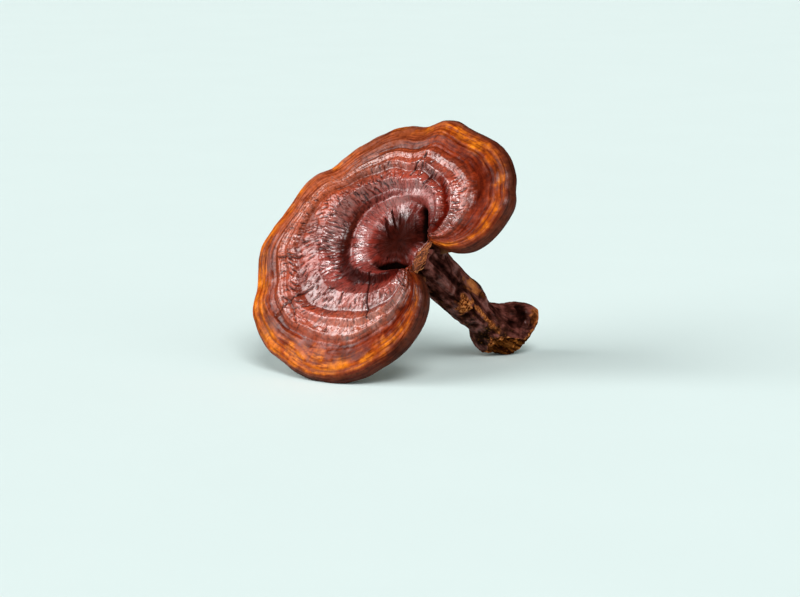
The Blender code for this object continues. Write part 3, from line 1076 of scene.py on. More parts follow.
# Patches here and below: place around, ring, half width of each, and how much they add.
SATIN_PATCHES = (
    (33.0, -0.22, 5.0, 0.18, 1.0), (35.0, 0.10, 5.0, 0.08, 0.7), (26.0, -0.2, 3.0, 0.12, 0.2),
    (5.5, 0.24, 2.5, 0.14, -0.5), (40.0, 0.44, 3.5, 0.05, -0.6), (39.0, 0.78, 6.0, 0.10, -0.35),
    (43.5, 0.32, 2.0, 0.18, -0.5), (26.0, 0.50, 3.0, 0.22, -0.25), (10.0, 0.44, 5.0, 0.10, 0.6),
    (37.0, 0.24, 4.5, 0.08, 0.6), (33.0, 0.44, 3.5, 0.08, 0.4), (41.0, 0.56, 4.0, 0.06, 0.5),
    (6.0, 0.84, 5.0, 0.06, -0.3), (18.5, 0.02, 6.5, 0.04, 0.5), (35.0, 0.57, 3.0, 0.06, 0.4),
    (6.0, 0.60, 3.0, 0.16, 0.3), (10.0, 0.66, 3.0, 0.08, 0.3),
)
# Patches that tint the lacquer, each kind in its own colour; the pale and lilac ones are painted
# highlights.
TINT_PATCHES = {
    "deep": (
        (39.5, 0.46, 4.5, 0.07, 1.0), (43.5, 0.30, 2.2, 0.20, 0.8), (40.0, 0.84, 5.0, 0.10, 0.6),
        (5.0, 0.20, 2.5, 0.12, 0.9), (6.0, 0.88, 5.0, 0.05, 0.7), (20.0, 0.40, 3.0, 0.03, 0.4),
    ),
    "warm": (
        (26.5, 0.75, 5.5, 0.40, 1.0), (9.0, 0.58, 5.0, 0.22, 0.5), (32.0, 1.00, 3.0, 0.15, 0.5),
    ),
    # Painted highlights along the upper edge of the rim.
    "pale": (
        (28.0, 1.14, 6.0, 0.07, 0.8), (15.5, 1.13, 3.0, 0.06, 0.5), (20.0, 1.13, 3.0, 0.04, 0.5),
    ),
    # Painted highlights on the crests and the inner groove.
    "lilac": (
        (34.5, 0.12, 5.5, 0.06, 0.9), (38.5, 0.18, 4.0, 0.10, 0.8), (9.0, 0.40, 4.0, 0.07, 0.6),
        (19.0, 0.0, 7.0, 0.04, 0.6), (14.0, 0.26, 8.0, 0.06, 0.5),
    ),
}
# Where the margin is mottled with rust red.
RUST_PATCHES = (
    (7.5, 0.87, 6.0, 0.08, 1.0), (6.5, 1.05, 6.0, 0.04, 0.6), (39.5, 0.87, 6.0, 0.13, 1.0),
    (17.0, 0.85, 4.0, 0.05, 0.5), (4.0, 0.95, 2.5, 0.10, 0.7),
)
# Where painted shade makes the hollows beside the clefts black.
HOLLOW_SHADE_PATCHES = (
    (43.8, -0.30, 2.6, 0.26, 0.6), (5.5, -0.26, 4.0, 0.20, 0.4), (4.0, 0.10, 3.0, 0.10, 0.5),
)
# Where the underside stays dark beside the notch, as painted shade.
SHADED_UNDERSIDE = ((0.0, 1.55, 4.0, 0.5, 1.8),)
# Cracks that are long enough to see one by one: their corners, half width and depth.
CRACKS = (
    (((-70.4, -10.4), (-64.0, -10.0), (-57.6, -9.7)), 0.34, 0.7),
    (((-64.4, -37.6), (-58.6, -31.0), (-52.5, -26.6), (-47.0, -23.0)), 0.37, 0.8),
    (((-62.0, -28.5), (-58.0, -30.5), (-55.0, -34.0), (-51.5, -40.5)), 0.31, 0.6),
    (((-20.4, -12.5), (-19.8, -18.5), (-18.0, -23.0), (-17.6, -28.0), (-15.6, -35.0)), 0.37, 0.9),
    (((-27.5, -12.0), (-24.5, -15.8), (-22.8, -19.0)), 0.31, 0.7),
    (((-31.4, -29.5), (-30.2, -24.0)), 0.37, 0.8),
    (((-41.0, -26.5), (-37.2, -22.0)), 0.31, 0.6),
    (((-36.0, -44.5), (-35.0, -40.0)), 0.28, 0.5),
    (((-9.6, 33.0), (-7.2, 38.5), (-4.4, 44.0)), 0.34, 0.8),
    (((-1.8, 29.0), (1.8, 36.0)), 0.31, 0.7),
    (((-22.5, 36.5), (-21.0, 41.0)), 0.28, 0.6),
    (((-17.4, 16.4), (-16.2, 13.4), (-14.6, 9.0)), 0.50, 1.0),
    (((-13.0, 15.6), (-12.6, 11.0)), 0.34, 0.8),
    (((-16.5, 5.0), (-18.8, 8.6), (-19.3, 11.6)), 0.55, 1.0),
    (((-20.2, 13.0), (-18.4, 10.6)), 0.36, 0.8),
    (((-45.0, 20.6), (-41.0, 15.0)), 0.31, 0.6),
    (((-3.0, 52.0), (-0.5, 56.0)), 0.28, 0.5),
)
# Thin ridges beside the clefts: their corners, half width and height.
RIDGES = (
    (((-21.0, -9.0), (-16.2, -6.6), (-11.0, -5.4), (-6.0, -6.4)), 0.7, 0.7),
    (((-6.6, 17.0), (-5.4, 11.0), (-4.0, 6.0)), 0.8, 0.5),
    (((-9.4, 17.6), (-8.4, 11.6), (-7.2, 6.6)), 0.8, 0.4),
)
# How strong each kind of relief is from the hub's middle, at -1, over the hub's edge, at 0, and the
# rim's start, at 1, to the underside, at 2: slits that run outwards, flakes, fine rings, lumps.
RELIEF = (
    (-1.0, 0.0, 0.0, 0.0, 0.3), (-0.6, 0.25, 0.0, 0.0, 0.5), (-0.3, 0.6, 0.0, 0.0, 0.6),
    (-0.05, 0.4, 0.0, 0.0, 0.3), (0.06, 0.3, 0.05, 0.0, 0.3), (0.12, 0.9, 0.5, 0.05, 0.7),
    (0.3, 1.0, 1.0, 0.15, 1.0), (0.5, 0.8, 1.0, 0.3, 1.0), (0.65, 0.6, 0.8, 0.6, 1.0),
    (0.8, 0.35, 0.4, 1.0, 1.0), (0.9, 0.15, 0.15, 0.9, 0.9), (1.0, 0.06, 0.05, 0.7, 0.8),
    (1.2, 0.05, 0.0, 0.8, 0.8), (1.5, 0.05, 0.0, 0.2, 0.6), (2.0, 0.0, 0.0, 0.0, 0.4),
)


@dataclass
class CapForm:
    """The cap's surface by the place around it and the share of the way out across the rings."""

    hub_centre: tuple[float, float] = (-12.0, 3.6)
    hub_height: float = 2.2
    hub_steepness: float = 1.5
    lobe_wall: float = 5.0
    hub_wall: float = 8.0
    pit: tuple[float, float] = (-15.0, 6.3)
    pit_half_width: float = 2.3
    pit_depth: float = 1.8
    rim_radius: float = 4.4
    rim_most_share: float = 0.42
    rim_dent: float = 0.35
    stem_under: tuple[float, float] = (-5.0, 0.5)
    under_hollow: float = 1.4
    under_boss: float = 8.5
    boss_reach: float = 30.0
    under_drop: float = 3.4
    lip_path: Rows = ((-1.8, -8.6), (0.4, -3.0), (1.9, 1.4))
    lip_half_width: float = 1.3
    lip_height: float = 2.6

    def __post_init__(self) -> None:
        """Makes the curves and tables that the surface is read from."""
        self.period = float(len(MARGIN))
        self.margin = RoundCurve(range(len(MARGIN)), MARGIN, self.period)
        knots, points = [row[0] for row in HUB_EDGE], [row[1:] for row in HUB_EDGE]
        self.hub_edge = RoundCurve(knots, points, self.period)
        self.inner_at, self.inner_depth, self.middle_at, self.middle_depth, self.groove_at = (
            RoundTable(VALLEYS, self.period, column) for column in range(1, 6)
        )
        self.fullness = RoundTable(FULLNESS, self.period, 1)
        self.below = RoundTable(FULLNESS, self.period, 2)
        self.cleft_depth = RoundTable(CLEFT_DEPTH, self.period)

    def places(self, count: int) -> Array:
        """Places around, closer together where the margin or the hub's edge is short.

        Args:
            count: how many places.

        Returns:
            The places.
        """
        fine = np.linspace(0.0, self.period, 2000)
        shares = []
        for curve in (self.margin, self.hub_edge):
            points = curve(fine)
            run = np.append(0.0, np.cumsum(np.linalg.norm(np.diff(points, axis=0), axis=1)))
            shares.append(run / run[-1])
        return np.interp(np.arange(count) / count, sum(shares) / len(shares), fine)

    def rim_start(self, place: Array) -> Array:
        """Share of the way from the hub's edge to the margin where the rounded rim begins."""
        length = np.linalg.norm(self.margin(place) - self.hub_edge(place), axis=1)
        return 1.0 - np.minimum(self.rim_radius, self.rim_most_share * length) / length

    def ring_stops(self, place: Array) -> tuple[Array, Array, Array]:
        """Where the steps across the rings are.

        Args:
            place: places around.

        Returns:
            Usual share, and share of the way out and height at each place, a row for each step.
        """
        usual = np.array([step[0] for step in RING_STEPS])
        heights = np.array([step[1] for step in RING_STEPS])[:, None] * np.ones_like(place)
        fixed = {
            0: np.zeros_like(place),
            INNER_VALLEY: self.inner_at(place),
            MIDDLE_VALLEY: self.middle_at(place),
            MARGIN_GROOVE: self.groove_at(place),
            len(usual) - 1: np.ones_like(place),
        }
        heights[INNER_VALLEY] -= self.inner_depth(place)
        heights[MIDDLE_VALLEY] -= self.middle_depth(place)
        outs = np.zeros_like(heights)
        held = sorted(fixed)
        for near, far in zip(held, held[1:]):
            for step in range(near, far + 1):
                share = (usual[step] - usual[near]) / (usual[far] - usual[near])
                outs[step] = fixed[near] * (1 - share) + fixed[far] * share
        return usual, outs * self.rim_start(place), heights

    def folds(self, place: Array, out: Array) -> Array:
        """How far the folds of the margin dip.

        Args:
            place: places around.
            out: share of the way out at each.

        Returns:
            The depth at each.
        """
        dip = np.zeros_like(place)
        for at, half_width, depth, reach in FOLDS:
            beside = bell(wrapped(place - at, self.period), half_width)
            dip += depth * beside * smooth((out - 1 + reach) / reach)
        return dip

    def lip(self, flat: Array) -> Array:
        """How far the torn lip stands up."""
        away = distance_to_path(flat[:, 0], flat[:, 1], self.lip_path)
        return self.lip_height * bell(away, self.lip_half_width)

    def cleft(self, place: Array, flat: Array, reach: float) -> Array:
        """How far a cleft cuts in.

        Args:
            place: places around.
            flat: where each point is, seen from above.
            reach: how far the cleft's wall reaches from its bottom, the hub's edge.

        Returns:
            The depth at each point.
        """
        away = np.linalg.norm(flat - self.hub_edge(place), axis=1)
        return self.cleft_depth(place) * np.clip(1.0 - away / reach, 0.0, 1.0) ** 2

    def across(self, place: Array, out: Array) -> Array:
        """Place seen from above at a share of the way from the hub's edge to the margin."""
        hub = self.hub_edge(place)
        return hub + (self.margin(place) - hub) * out[:, None]

    def top(self, place: Array, ring: float) -> Array:
        """Points of the top.

        Args:
            place: places around.
            ring: from 0 at the hub's edge to 1 where the rim begins.

        Returns:
            A point at each place.
        """
        usual, outs, heights = self.ring_stops(place)
        step = int(np.clip(np.searchsorted(usual, ring, "right") - 1, 0, len(usual) - 2))
        share = (ring - usual[step]) / (usual[step + 1] - usual[step])
        out = outs[step] * (1 - share) + outs[step + 1] * share
        eased = 0.5 * share + 0.5 * smooth(share)
        height = heights[step] * (1 - eased) + heights[step + 1] * eased
        flat = self.across(place, out)
        height = height * self.fullness(place) - self.folds(place, out)
        height -= self.cleft(place, flat, self.lobe_wall)
        return np.column_stack([flat, height + self.lip(flat)])

    def hub(self, place: Array, out: float) -> Array:
        """Points of the hub's basin.

        Args:
            place: places around.
            out: from 0 at the hub's centre to 1 at its edge.

        Returns:
            A point at each place.
        """
        centre, edge = np.array(self.hub_centre), self.hub_edge(place)
        flat = centre + (edge - centre) * out
        edge_height = RING_STEPS[0][1] * self.fullness(place)
        height = self.hub_height + (edge_height - self.hub_height) * out**self.hub_steepness
        height -= self.cleft(place, flat, self.hub_wall)
        from_pit = np.hypot(flat[:, 0] - self.pit[0], flat[:, 1] - self.pit[1])
        height += self.lip(flat) - self.pit_depth * bell(from_pit, self.pit_half_width)
        return np.column_stack([flat, height])

    def rim(self, place: Array, turn: float) -> Array:
        """Points of the rounded rim.

        Args:
            place: places around.
            turn: from 1 at the top by 0 at the margin to -1 underneath.

        Returns:
            A point at each place.
        """
        start = self.rim_start(place)
        flat = self.across(place, start + (1 - start) * math.cos(turn * math.pi / 2))
        thick = self.top(place, 1.0)[:, 2] if turn > 0 else self.below(place)
        dent = self.folds(place, np.ones_like(place)) * self.rim_dent * (1 - abs(turn))
        return np.column_stack([flat, thick * math.sin(turn * math.pi / 2) - dent])

    def under(self, place: Array, out: float) -> Array:
        """Points of the underside.

        Args:
            place: places around.
            out: from 1 at the rim to 0 under the stem.

        Returns:
            A point at each place.
        """
        start, middle = self.rim(place, -1.0), np.array(self.stem_under)
        flat = middle + (start[:, :2] - middle) * out
        away = np.linalg.norm(flat - middle, axis=1)
        boss = self.under_boss * (1 - smooth(away / self.boss_reach)) * (1 - out**4)
        height = start[:, 2] * out**2 + self.under_hollow * math.sin(out * math.pi) - boss
        return np.column_stack([flat, height - self.under_drop * (1 - out**2)])


@dataclass
class CapSkin:
    """The smooth skin of the cap, row by row, and where each of its points is.

    Each array has a row for each loop around and a column for each place on it.
    """

    grid: Array
    place: Array
    around: Array
    ring: Array
    run: Array
    round_length: Array


class Relief(Enum):
    """A kind of relief, by its column in the table of relief."""

    SLITS = 1
    FLAKES = 2
    RINGS = 3
    LUMPS = 4


@dataclass
class Cap(Dressed):
    """The cap: one skin over the hub, the rings, the rim and the pored underside."""

    finish: Finish = LacquerFinish()
    form: CapForm = field(default_factory=CapForm)
    skin: CapSkin = field(init=False)
    grain: Grain = field(default_factory=lambda: Grain(7))
    around: int = 640
    hub_rows: int = 34
    ring_rows: int = 112
    rim_rows: int = 18
    under_rows: int = 16
    fine_hub_rows: int = 4
    fine_until: float = 1.43
    crease_pitch: float = 3.4
    crease_length: float = 9.0
    crease_height: float = 0.16
    slit_pitch: float = 1.7
    slit_length: float = 5.6
    slit_half_width: float = 0.28
    slit_depth: float = 0.5
    crack_depth: float = 0.85
    flake_count: int = 130
    flake_length: float = 2.6
    flake_tilt: float = 0.16
    flake_groove: float = 0.16
    ring_count: float = 24.0
    ring_height: float = 0.42
    lump_height: float = 0.3
    swell_height: float = 0.5
    band_at: float = 0.42
    band_half_width: float = 0.022
    band_depth: float = 0.3
    deepest_cleft: float = 8.8

    def smooth_skin(self) -> CapSkin:
        """Lays out the cap's skin in loops, from the hub's middle to the underside's.

        Returns:
            The skin without relief.
        """
        places = self.form.places(self.around)
        stops: list[float] = []
        rows: list[Array] = []
        for out in np.arange(1, self.hub_rows) / self.hub_rows:
            stops.append(out - 1.0)
            rows.append(self.form.hub(places, out))
        for ring in np.arange(self.ring_rows) / self.ring_rows:
            stops.append(ring)
            rows.append(self.form.top(places, ring))
        for turn in np.linspace(1.0, -1.0, self.rim_rows + 1):
            stops.append(1.0 + 0.25 * (1.0 - turn))
            rows.append(self.form.rim(places, turn))
        for step in np.arange(1, self.under_rows) / self.under_rows:
            stops.append(1.5 + 0.5 * step)
            rows.append(self.form.under(places, 1.0 - step**1.5))
        grid, level = np.array(rows), np.ones((len(rows), self.around))
        gaps = np.linalg.norm(np.roll(grid, -1, 1) - grid, axis=2)
        steps = np.linalg.norm(np.diff(grid, axis=0), axis=2)
        run = np.concatenate([np.zeros((1, self.around)), np.cumsum(steps, 0)])
        return CapSkin(
            grid=grid,
            place=places * level,
            around=np.arange(self.around) / self.around * level,
            ring=np.array(stops)[:, None] * level,
            run=run - run[self.hub_rows - 1],
            round_length=gaps.sum(1, keepdims=True) * level,
        )

    def weight(self, kind: Relief) -> Array:
        """How strong a kind of relief is in each loop."""
        table = np.array(RELIEF)
        return np.interp(self.skin.ring[:, 0], table[:, 0], table[:, kind.value])[:, None]

    def cloud(self, pitch: float, count: int, shift: float = 0.0) -> Array:
        """Noise over the cap as seen from above.

        Args:
            pitch: how wide a cloud is.
            count: how many layers it has.
            shift: sets it apart from the others.

        Returns:
            Values from 0 to 1, mostly near 0.5.
        """
        x, y = self.skin.grid[..., 0], self.skin.grid[..., 1]
        return self.grain.layers(x / pitch + shift, y / pitch, count)

    def patches(self, rows: Rows, ring: Array) -> Array:
        """Adds up soft, oval patches.

        Args:
            rows: for each its place around and ring, half width of each, and amount.
            ring: the ring of each point.

        Returns:
            The sum at each point.
        """
        total = np.zeros_like(ring)
        for at, at_ring, half_place, half_ring, amount in rows:
            beside = wrapped(self.skin.place - at, self.form.period) / half_place
            total += amount * np.exp(-(beside**2) - ((ring - at_ring) / half_ring) ** 2)
        return total

    def creases(self, pitch: float, stretch: float) -> Array:
        """Noise drawn out away from the hub, about as wide everywhere.

        Args:
            pitch: width of a crease.
            stretch: length of a crease.

        Returns:
            Values from 0 to 1, mostly near 0.5.
        """
        around, run = self.skin.around, self.skin.run
        level = np.clip(np.log2(self.skin.round_length / pitch), 4.0, 9.0)
        total, weights = np.zeros_like(run), np.zeros_like(run)
        for octave in range(int(level.min()), int(math.ceil(level.max())) + 1):
            weight = np.clip(1.0 - np.abs(level - octave), 0.0, 1.0)
            count = 2**octave
            lean = 0.35 * (self.grain.at(around * 24, run / 14.0, 24) - 0.5) * count / 24
            x, y = (around * count + lean) % count, run / stretch + 31.7 * octave
            total += weight * (self.grain.at(x, y, count) - 0.5)
            weights += weight**2
        return 0.5 + total / np.sqrt(np.maximum(weights, 1e-6))

    def slits(self) -> Array:
        """Short cuts that run outwards, as close together everywhere.

        Returns:
            How deep in a cut each point is, from 0 to 1.
        """
        around, run = self.skin.around, self.skin.run
        level = np.clip(np.log2(self.skin.round_length / self.slit_pitch), 4.0, 8.0)
        deepest = np.zeros_like(run)
        for octave in range(int(level.min()), int(math.ceil(level.max())) + 1):
            chosen = np.clip(1.5 - 1.5 * np.abs(level - octave), 0.0, 1.0)
            count = 2**octave
            lean = 0.5 * (self.grain.at(around * 24, run / 9.0, 24) - 0.5) * count / 24
            lean = lean + 0.5 * (self.grain.at(around * count, run / 1.6, count) - 0.5)
            x = around * count + lean
            column = np.floor(x)
            for beside in (-1, 0, 1):
                at = (column + beside) % count
                shift = self.grain.at(at, 0.0 * at + 3.3 * octave)
                y = run / self.slit_length + 4.0 * shift
                for above in (-1, 0, 1):
                    own = np.floor(y) + above
                    off = self.grain.at(at, own + 200.0) - 0.5
                    reach = 0.25 + 0.45 * self.grain.at(at, own - 200.0)
                    depth = self.grain.at(at, own + 700.0)
                    aside = np.abs(x - column - beside - 0.5 - 0.7 * off)
                    aside = aside * self.skin.round_length / count
                    along = np.abs(y - own - 0.5 - 0.3 * off) / reach
                    taper = np.clip(1.0 - along**2, 0.0, 1.0)
                    width = self.slit_half_width * (0.5 + depth) * np.sqrt(taper) + 0.02
                    cut = chosen * smooth((depth - 0.1) / 0.4) * taper * bell(aside, width)
                    deepest = np.maximum(deepest, cut)
        return deepest

    def flakes(self) -> Array:
        """Flakes that the lacquer cracked into, each tilted its own way.

        Returns:
            The height that the tilts and the grooves between flakes give.
        """
        x, y = self.skin.around * self.flake_count, self.skin.run / self.flake_length
        x = x + 0.8 * (self.grain.at(self.skin.around * 260, self.skin.run / 1.1, 260) - 0.5)
        cell_x, cell_y = np.floor(x), np.floor(y)
        nearest, second = np.full(x.shape, 9.0), np.full(x.shape, 9.0)
        tilt = np.zeros_like(x)
        for step_x in (-1, 0, 1):
            for step_y in (-1, 0, 1):
                at_x, at_y = cell_x + step_x, cell_y + step_y
                column = at_x % self.flake_count
                aside = at_x + self.grain.at(column, at_y + 400.0) - x
                along = at_y + self.grain.at(column, at_y - 400.0) - y
                away = np.hypot(aside, along)
                lean_x = self.grain.at(column, at_y + 900.0) - 0.5
                lean_y = self.grain.at(column, at_y - 900.0) - 0.5
                closer = away < nearest
                second = np.where(closer, nearest, np.minimum(second, away))
                tilt = np.where(closer, 2.0 * (aside * lean_x + along * lean_y), tilt)
                nearest = np.minimum(nearest, away)
        groove = 1.0 - smooth((second - nearest) / 0.22)
        return self.flake_tilt * tilt - self.flake_groove * groove

    def cracks(self) -> Array:
        """The long cracks, placed one by one.

        Returns:
            How deep in a crack each point is, from 0 to 1.
        """
        wander = 0.5 + self.cloud(1.3, 1)
        crack = np.zeros_like(wander)
        for corners, half_width, depth in CRACKS:
            away = distance_to_path(self.skin.grid[..., 0], self.skin.grid[..., 1], corners)
            crack = np.maximum(crack, bell(away, half_width * wander) * depth / self.crack_depth)
        return crack

    def ridges(self) -> Array:
        """Height of the thin ridges beside the clefts."""
        x, y = self.skin.grid[..., 0], self.skin.grid[..., 1]
        return sum(tall * bell(distance_to_path(x, y, path), wide) for path, wide, tall in RIDGES)

    def room(self) -> Array:
        """1 where the fine rings are far enough apart to be shaped, 0 where they crowd."""
        spacing = np.abs(np.gradient(self.skin.run, axis=0)) * self.ring_rows / self.ring_count
        return smooth((spacing - 0.5) / 0.7)

    def rings(self) -> tuple[Array, Array]:
        """The fine rings: narrow ones, with broader ones over them.

        Returns:
            Their height, and how deep between two of them each point is, from 0 to 1.
        """
        around, q = self.skin.around, self.skin.ring
        room, share = self.room(), self.weight(Relief.RINGS)
        height, furrow = np.zeros_like(q), np.zeros_like(q)
        for count, tall in ((self.ring_count, 0.55), (0.55 * self.ring_count, 1.0)):
            warp = 0.9 * (self.grain.at(around * 32 + count, q * 5.0, 32) - 0.5)
            ring = q * count + warp
            number = np.floor(ring)
            strength = self.grain.at(number, 0 * number + 77.0 + count)
            broken = smooth((self.grain.at(around * 20, number * 3.7 + count, 20) - 0.2) / 0.5)
            crest = bell(ring - number - 0.5, 0.2) - 0.35
            height += share * self.ring_height * tall * (0.2 + strength) * crest * broken * room
            between = bell(np.abs(ring - np.round(ring)), 0.14)
            furrow = np.maximum(furrow, share * broken * (0.3 + strength) * between)
        return height, np.clip(furrow * room, 0.0, 1.0)

    def in_cleft(self) -> Array:
        """How far inside one of the two clefts each point is.

        Returns:
            1 at a cleft's bottom, 0 outside.
        """
        cleft = self.form.cleft_depth(self.skin.place[0]) / self.deepest_cleft
        hub_side = smooth(1.0 + self.skin.run / self.form.hub_wall)
        lobe_side = np.clip(1.0 - np.maximum(self.skin.run, 0.0) / self.form.lobe_wall, 0.0, 1.0)
        return cleft * np.where(self.skin.ring < 0, hub_side, 1.0) * lobe_side

    def satin(self, ring: Array) -> Array:
        """How glossy the lacquer is, in streaks that run outwards.

        Args:
            ring: the ring of each point, a little warped.

        Returns:
            Values from 0 to 1.
        """
        table, (x, y) = np.array(SATIN), (self.skin.grid[..., 0], self.skin.grid[..., 1])
        satin = np.interp(ring, table[:, 0], table[:, 1])
        satin = satin + self.patches(SATIN_PATCHES, ring)
        satin = satin * (0.7 + 0.6 * self.grain.layers(x / 2.6, y / 2.6 + 9, 2))
        streaks = smooth((self.creases(2.2, 8.0) - 0.36) / 0.24)
        share = 0.4 + 0.45 * smooth(-(self.skin.ring + 0.05) / 0.1)
        return np.clip(satin * (1.0 - share + 1.25 * share * streaks), 0.0, 1.0)

    def aged(self, ring: Array) -> dict[str, Array]:
        """The margin's amber, the rust that mottles it, and the dark brown past it, partly painted
        shade.

        Args:
            ring: the ring of each point, a little warped.

        Returns:
            The fields, by name.
        """
        tables = (RoundTable(AMBER, self.form.period, column) for column in (1, 2, 3))
        strength, begins, ends = (table(self.skin.place[0]) for table in tables)
        mottle = self.cloud(3.6, 3, 21.0) - 0.5
        amber = smooth((1.55 * strength + 1.7 * mottle - 0.3) / 0.8)
        amber = amber * smooth((ring - begins) / 0.09) * smooth((ends - ring + 0.03) / 0.08)
        blotch = self.grain.layers(self.skin.around * 150 + 3.0, self.skin.ring * 17.0, 2)
        blotch = 0.5 * blotch + 0.5 * self.cloud(2.4, 2, 50.0)
        rust = np.clip(self.patches(RUST_PATCHES, ring), 0.0, 1.0)
        rust = rust * smooth((blotch - 0.46) / 0.12)
        dark = np.clip(self.patches(SHADED_UNDERSIDE, self.skin.ring), 0.0, 1.0)
        pored = (1.0 - dark) * smooth((self.skin.ring - 1.34) / 0.22)
        # Dark brown past the amber: partly the rim's own brown, partly painted shade, kept by the
        # notch.
        old = smooth((ring - ends) / 0.12) * (1.0 - pored)
        return {"amber": amber * (1.0 - 0.75 * rust), "rust": rust, "old": old}

    def fields(self, cut: Array, height: Array) -> dict[str, Array]:
        """Works out what the finish reads.

        Args:
            cut: how deep in a slit or a long crack each point is.
            height: height of the relief.

        Returns:
            The fields, by name.
        """
        warp = 0.10 * (self.cloud(6.0, 3, 70.0) - 0.5)
        warp = warp + 0.05 * (self.creases(1.8, 6.0) - 0.5)
        ring, turn = self.skin.ring + warp, FULL_TURN * self.skin.around
        in_cleft = self.in_cleft()
        hollow_shade = self.patches(HOLLOW_SHADE_PATCHES, ring)
        fields = {
            "ring": self.skin.ring,
            # The cleft field is painted shade, black in the clefts and the hollows beside them.
            "cleft": np.clip(smooth(in_cleft / 0.65) + hollow_shade, 0.0, 1.0),
            "satin": self.satin(ring) * (1.0 - cut) * (1.0 - smooth(in_cleft / 0.5)),
            "crack": cut,
            "tone": np.clip(0.5 + height, 0.0, 1.0),
            "outward": np.stack([np.cos(turn), np.sin(turn), self.skin.run], -1),
            "ringwise": np.stack([np.cos(turn), np.sin(turn), self.skin.ring], -1),
            "width": self.skin.round_length,
        }
        for label, rows in TINT_PATCHES.items():
            fields[label] = np.clip(self.patches(rows, ring), 0.0, 1.0)
        return {**fields, **self.aged(ring)}

    def build(self) -> Piece:
        """Builds the cap's mesh with its relief and the fields that its finish reads.

        Returns:
            The cap.
        """
        self.skin = self.smooth_skin()
        on_top = 1.0 - smooth((self.skin.ring - 1.25) / 0.25)
        band = bell(self.skin.ring - self.band_at, self.band_half_width)
        thick = smooth((self.cloud(8.0, 2, 5.0) - 0.3) / 0.3)
        slit_share = self.weight(Relief.SLITS) * (1 - 0.8 * band)
        flake_share = self.weight(Relief.FLAKES) * (1 - 0.9 * band)
        lump_share = self.weight(Relief.LUMPS)

        slit = np.minimum(1.0, slit_share * (0.5 + thick)) * self.slits()
        crack = self.cracks() * on_top
        height, furrow = self.rings()
        crease = self.creases(self.crease_pitch, self.crease_length)
        height += slit_share * self.crease_height * 2.0 * (crease - 0.5)
        height += flake_share * self.flakes() + self.ridges() * on_top
        height += lump_share * self.lump_height * 2.0 * (self.cloud(5.2, 2) - 0.5)
        height += lump_share * self.swell_height * 2.0 * (self.cloud(13.0, 1, 40.0) - 0.5)
        height -= self.slit_depth * slit + self.crack_depth * crack
        height -= self.band_depth * band * self.room()

        self.skin.grid = self.skin.grid + grid_normals(self.skin.grid) * height[..., None]
        cut = np.clip(np.maximum(crack, 0.8 * slit), 0.0, 1.0)
        fields = {"furrow": furrow, **self.fields(cut, height)}
        coarse = [
            row < self.hub_rows - self.fine_hub_rows or stop > self.fine_until
            for row, stop in enumerate(self.skin.ring[:, 0])
        ]
        return skin_piece("lacquered_cap", self.skin.grid, fields, coarse)


# The stem's middle as it grew: depth under the cap, its two coordinates, and the radius there.
STEM_AXIS = (
    (0.0, -4.6, 1.2, 10.0), (-16.0, -3.2, -2.0, 9.5), (-27.0, -2.4, -4.4, 9.3),
    (-37.0, -1.5, -6.4, 9.2), (-48.0, -0.3, -8.7, 9.1), (-58.0, 0.6, -10.8, 8.4),
    (-66.0, 1.6, -12.1, 8.5), (-72.0, 2.6, -12.9, 9.8), (-80.0, 4.8, -12.7, 11.4),
    (-87.0, 6.4, -13.1, 11.4), (-91.0, 6.9, -13.2, 11.0),
)
# Lumps of the stem: share of its length, direction in degrees, half length, half width, height.
STEM_LUMPS = (
    (0.10, -20.0, 0.20, 16.0, -1.6), (0.38, 8.0, 0.20, 16.0, -2.2), (0.24, -60.0, 0.24, 30.0, 0.8),
    (0.30, -120.0, 0.16, 28.0, 0.8), (0.54, 48.0, 0.08, 26.0, 1.4), (0.54, -44.0, 0.09, 24.0, 1.2),
    (0.60, 150.0, 0.16, 26.0, 1.2), (0.42, -150.0, 0.12, 30.0, -1.0),
    (0.69, 70.0, 0.06, 40.0, -0.8), (0.70, -120.0, 0.07, 40.0, -1.0),
    (0.30, 120.0, 0.18, 22.0, -1.2), (0.85, -130.0, 0.08, 34.0, 2.2),
    (0.82, 30.0, 0.05, 26.0, -1.4), (0.94, 60.0, 0.09, 30.0, 5.0), (0.96, 36.0, 0.07, 22.0, 2.2),
    (0.92, 8.0, 0.09, 18.0, -1.0), (0.97, -40.0, 0.10, 34.0, -2.8),
    (0.95, 160.0, 0.12, 40.0, 2.2), (0.93, -118.0, 0.06, 26.0, 1.2),
)
# Small knots and creases on the stem, in the same order.
STEM_DETAILS = (
    (0.10, -20.0, 0.08, 7.0, -1.0), (0.20, -14.0, 0.08, 7.0, -1.4), (0.30, -4.0, 0.07, 8.0, -1.4),
    (0.385, 2.0, 0.035, 9.0, -2.0), (0.34, -12.0, 0.025, 9.0, -1.3), (0.16, -42.0, 0.16, 9.0, 0.9),
    (0.30, -52.0, 0.06, 10.0, -0.8), (0.33, -36.0, 0.03, 14.0, -0.9),
    (0.42, -46.0, 0.05, 20.0, 0.9), (0.45, 26.0, 0.055, 13.0, 1.3), (0.425, 2.0, 0.016, 16.0, 0.9),
    (0.53, 24.0, 0.014, 12.0, -0.8), (0.49, -48.0, 0.014, 26.0, -1.1),
    (0.60, -38.0, 0.10, 6.0, -0.9), (0.62, -24.0, 0.12, 6.0, 0.6), (0.66, 4.0, 0.12, 12.0, 0.6),
    (0.56, -78.0, 0.03, 14.0, 0.9), (0.66, -84.0, 0.03, 16.0, 0.9), (0.61, -66.0, 0.02, 18.0, -0.8),
    (0.74, -46.0, 0.02, 22.0, -1.2), (0.72, -100.0, 0.03, 16.0, 0.8),
    (0.875, 30.0, 0.012, 18.0, -1.3), (0.86, 50.0, 0.010, 14.0, -1.0),
    (0.905, 16.0, 0.020, 8.0, 1.2), (0.93, 25.0, 0.012, 9.0, -1.0), (0.22, -44.0, 0.14, 5.0, 0.6),
    (0.33, 40.0, 0.12, 5.0, 0.4),
)
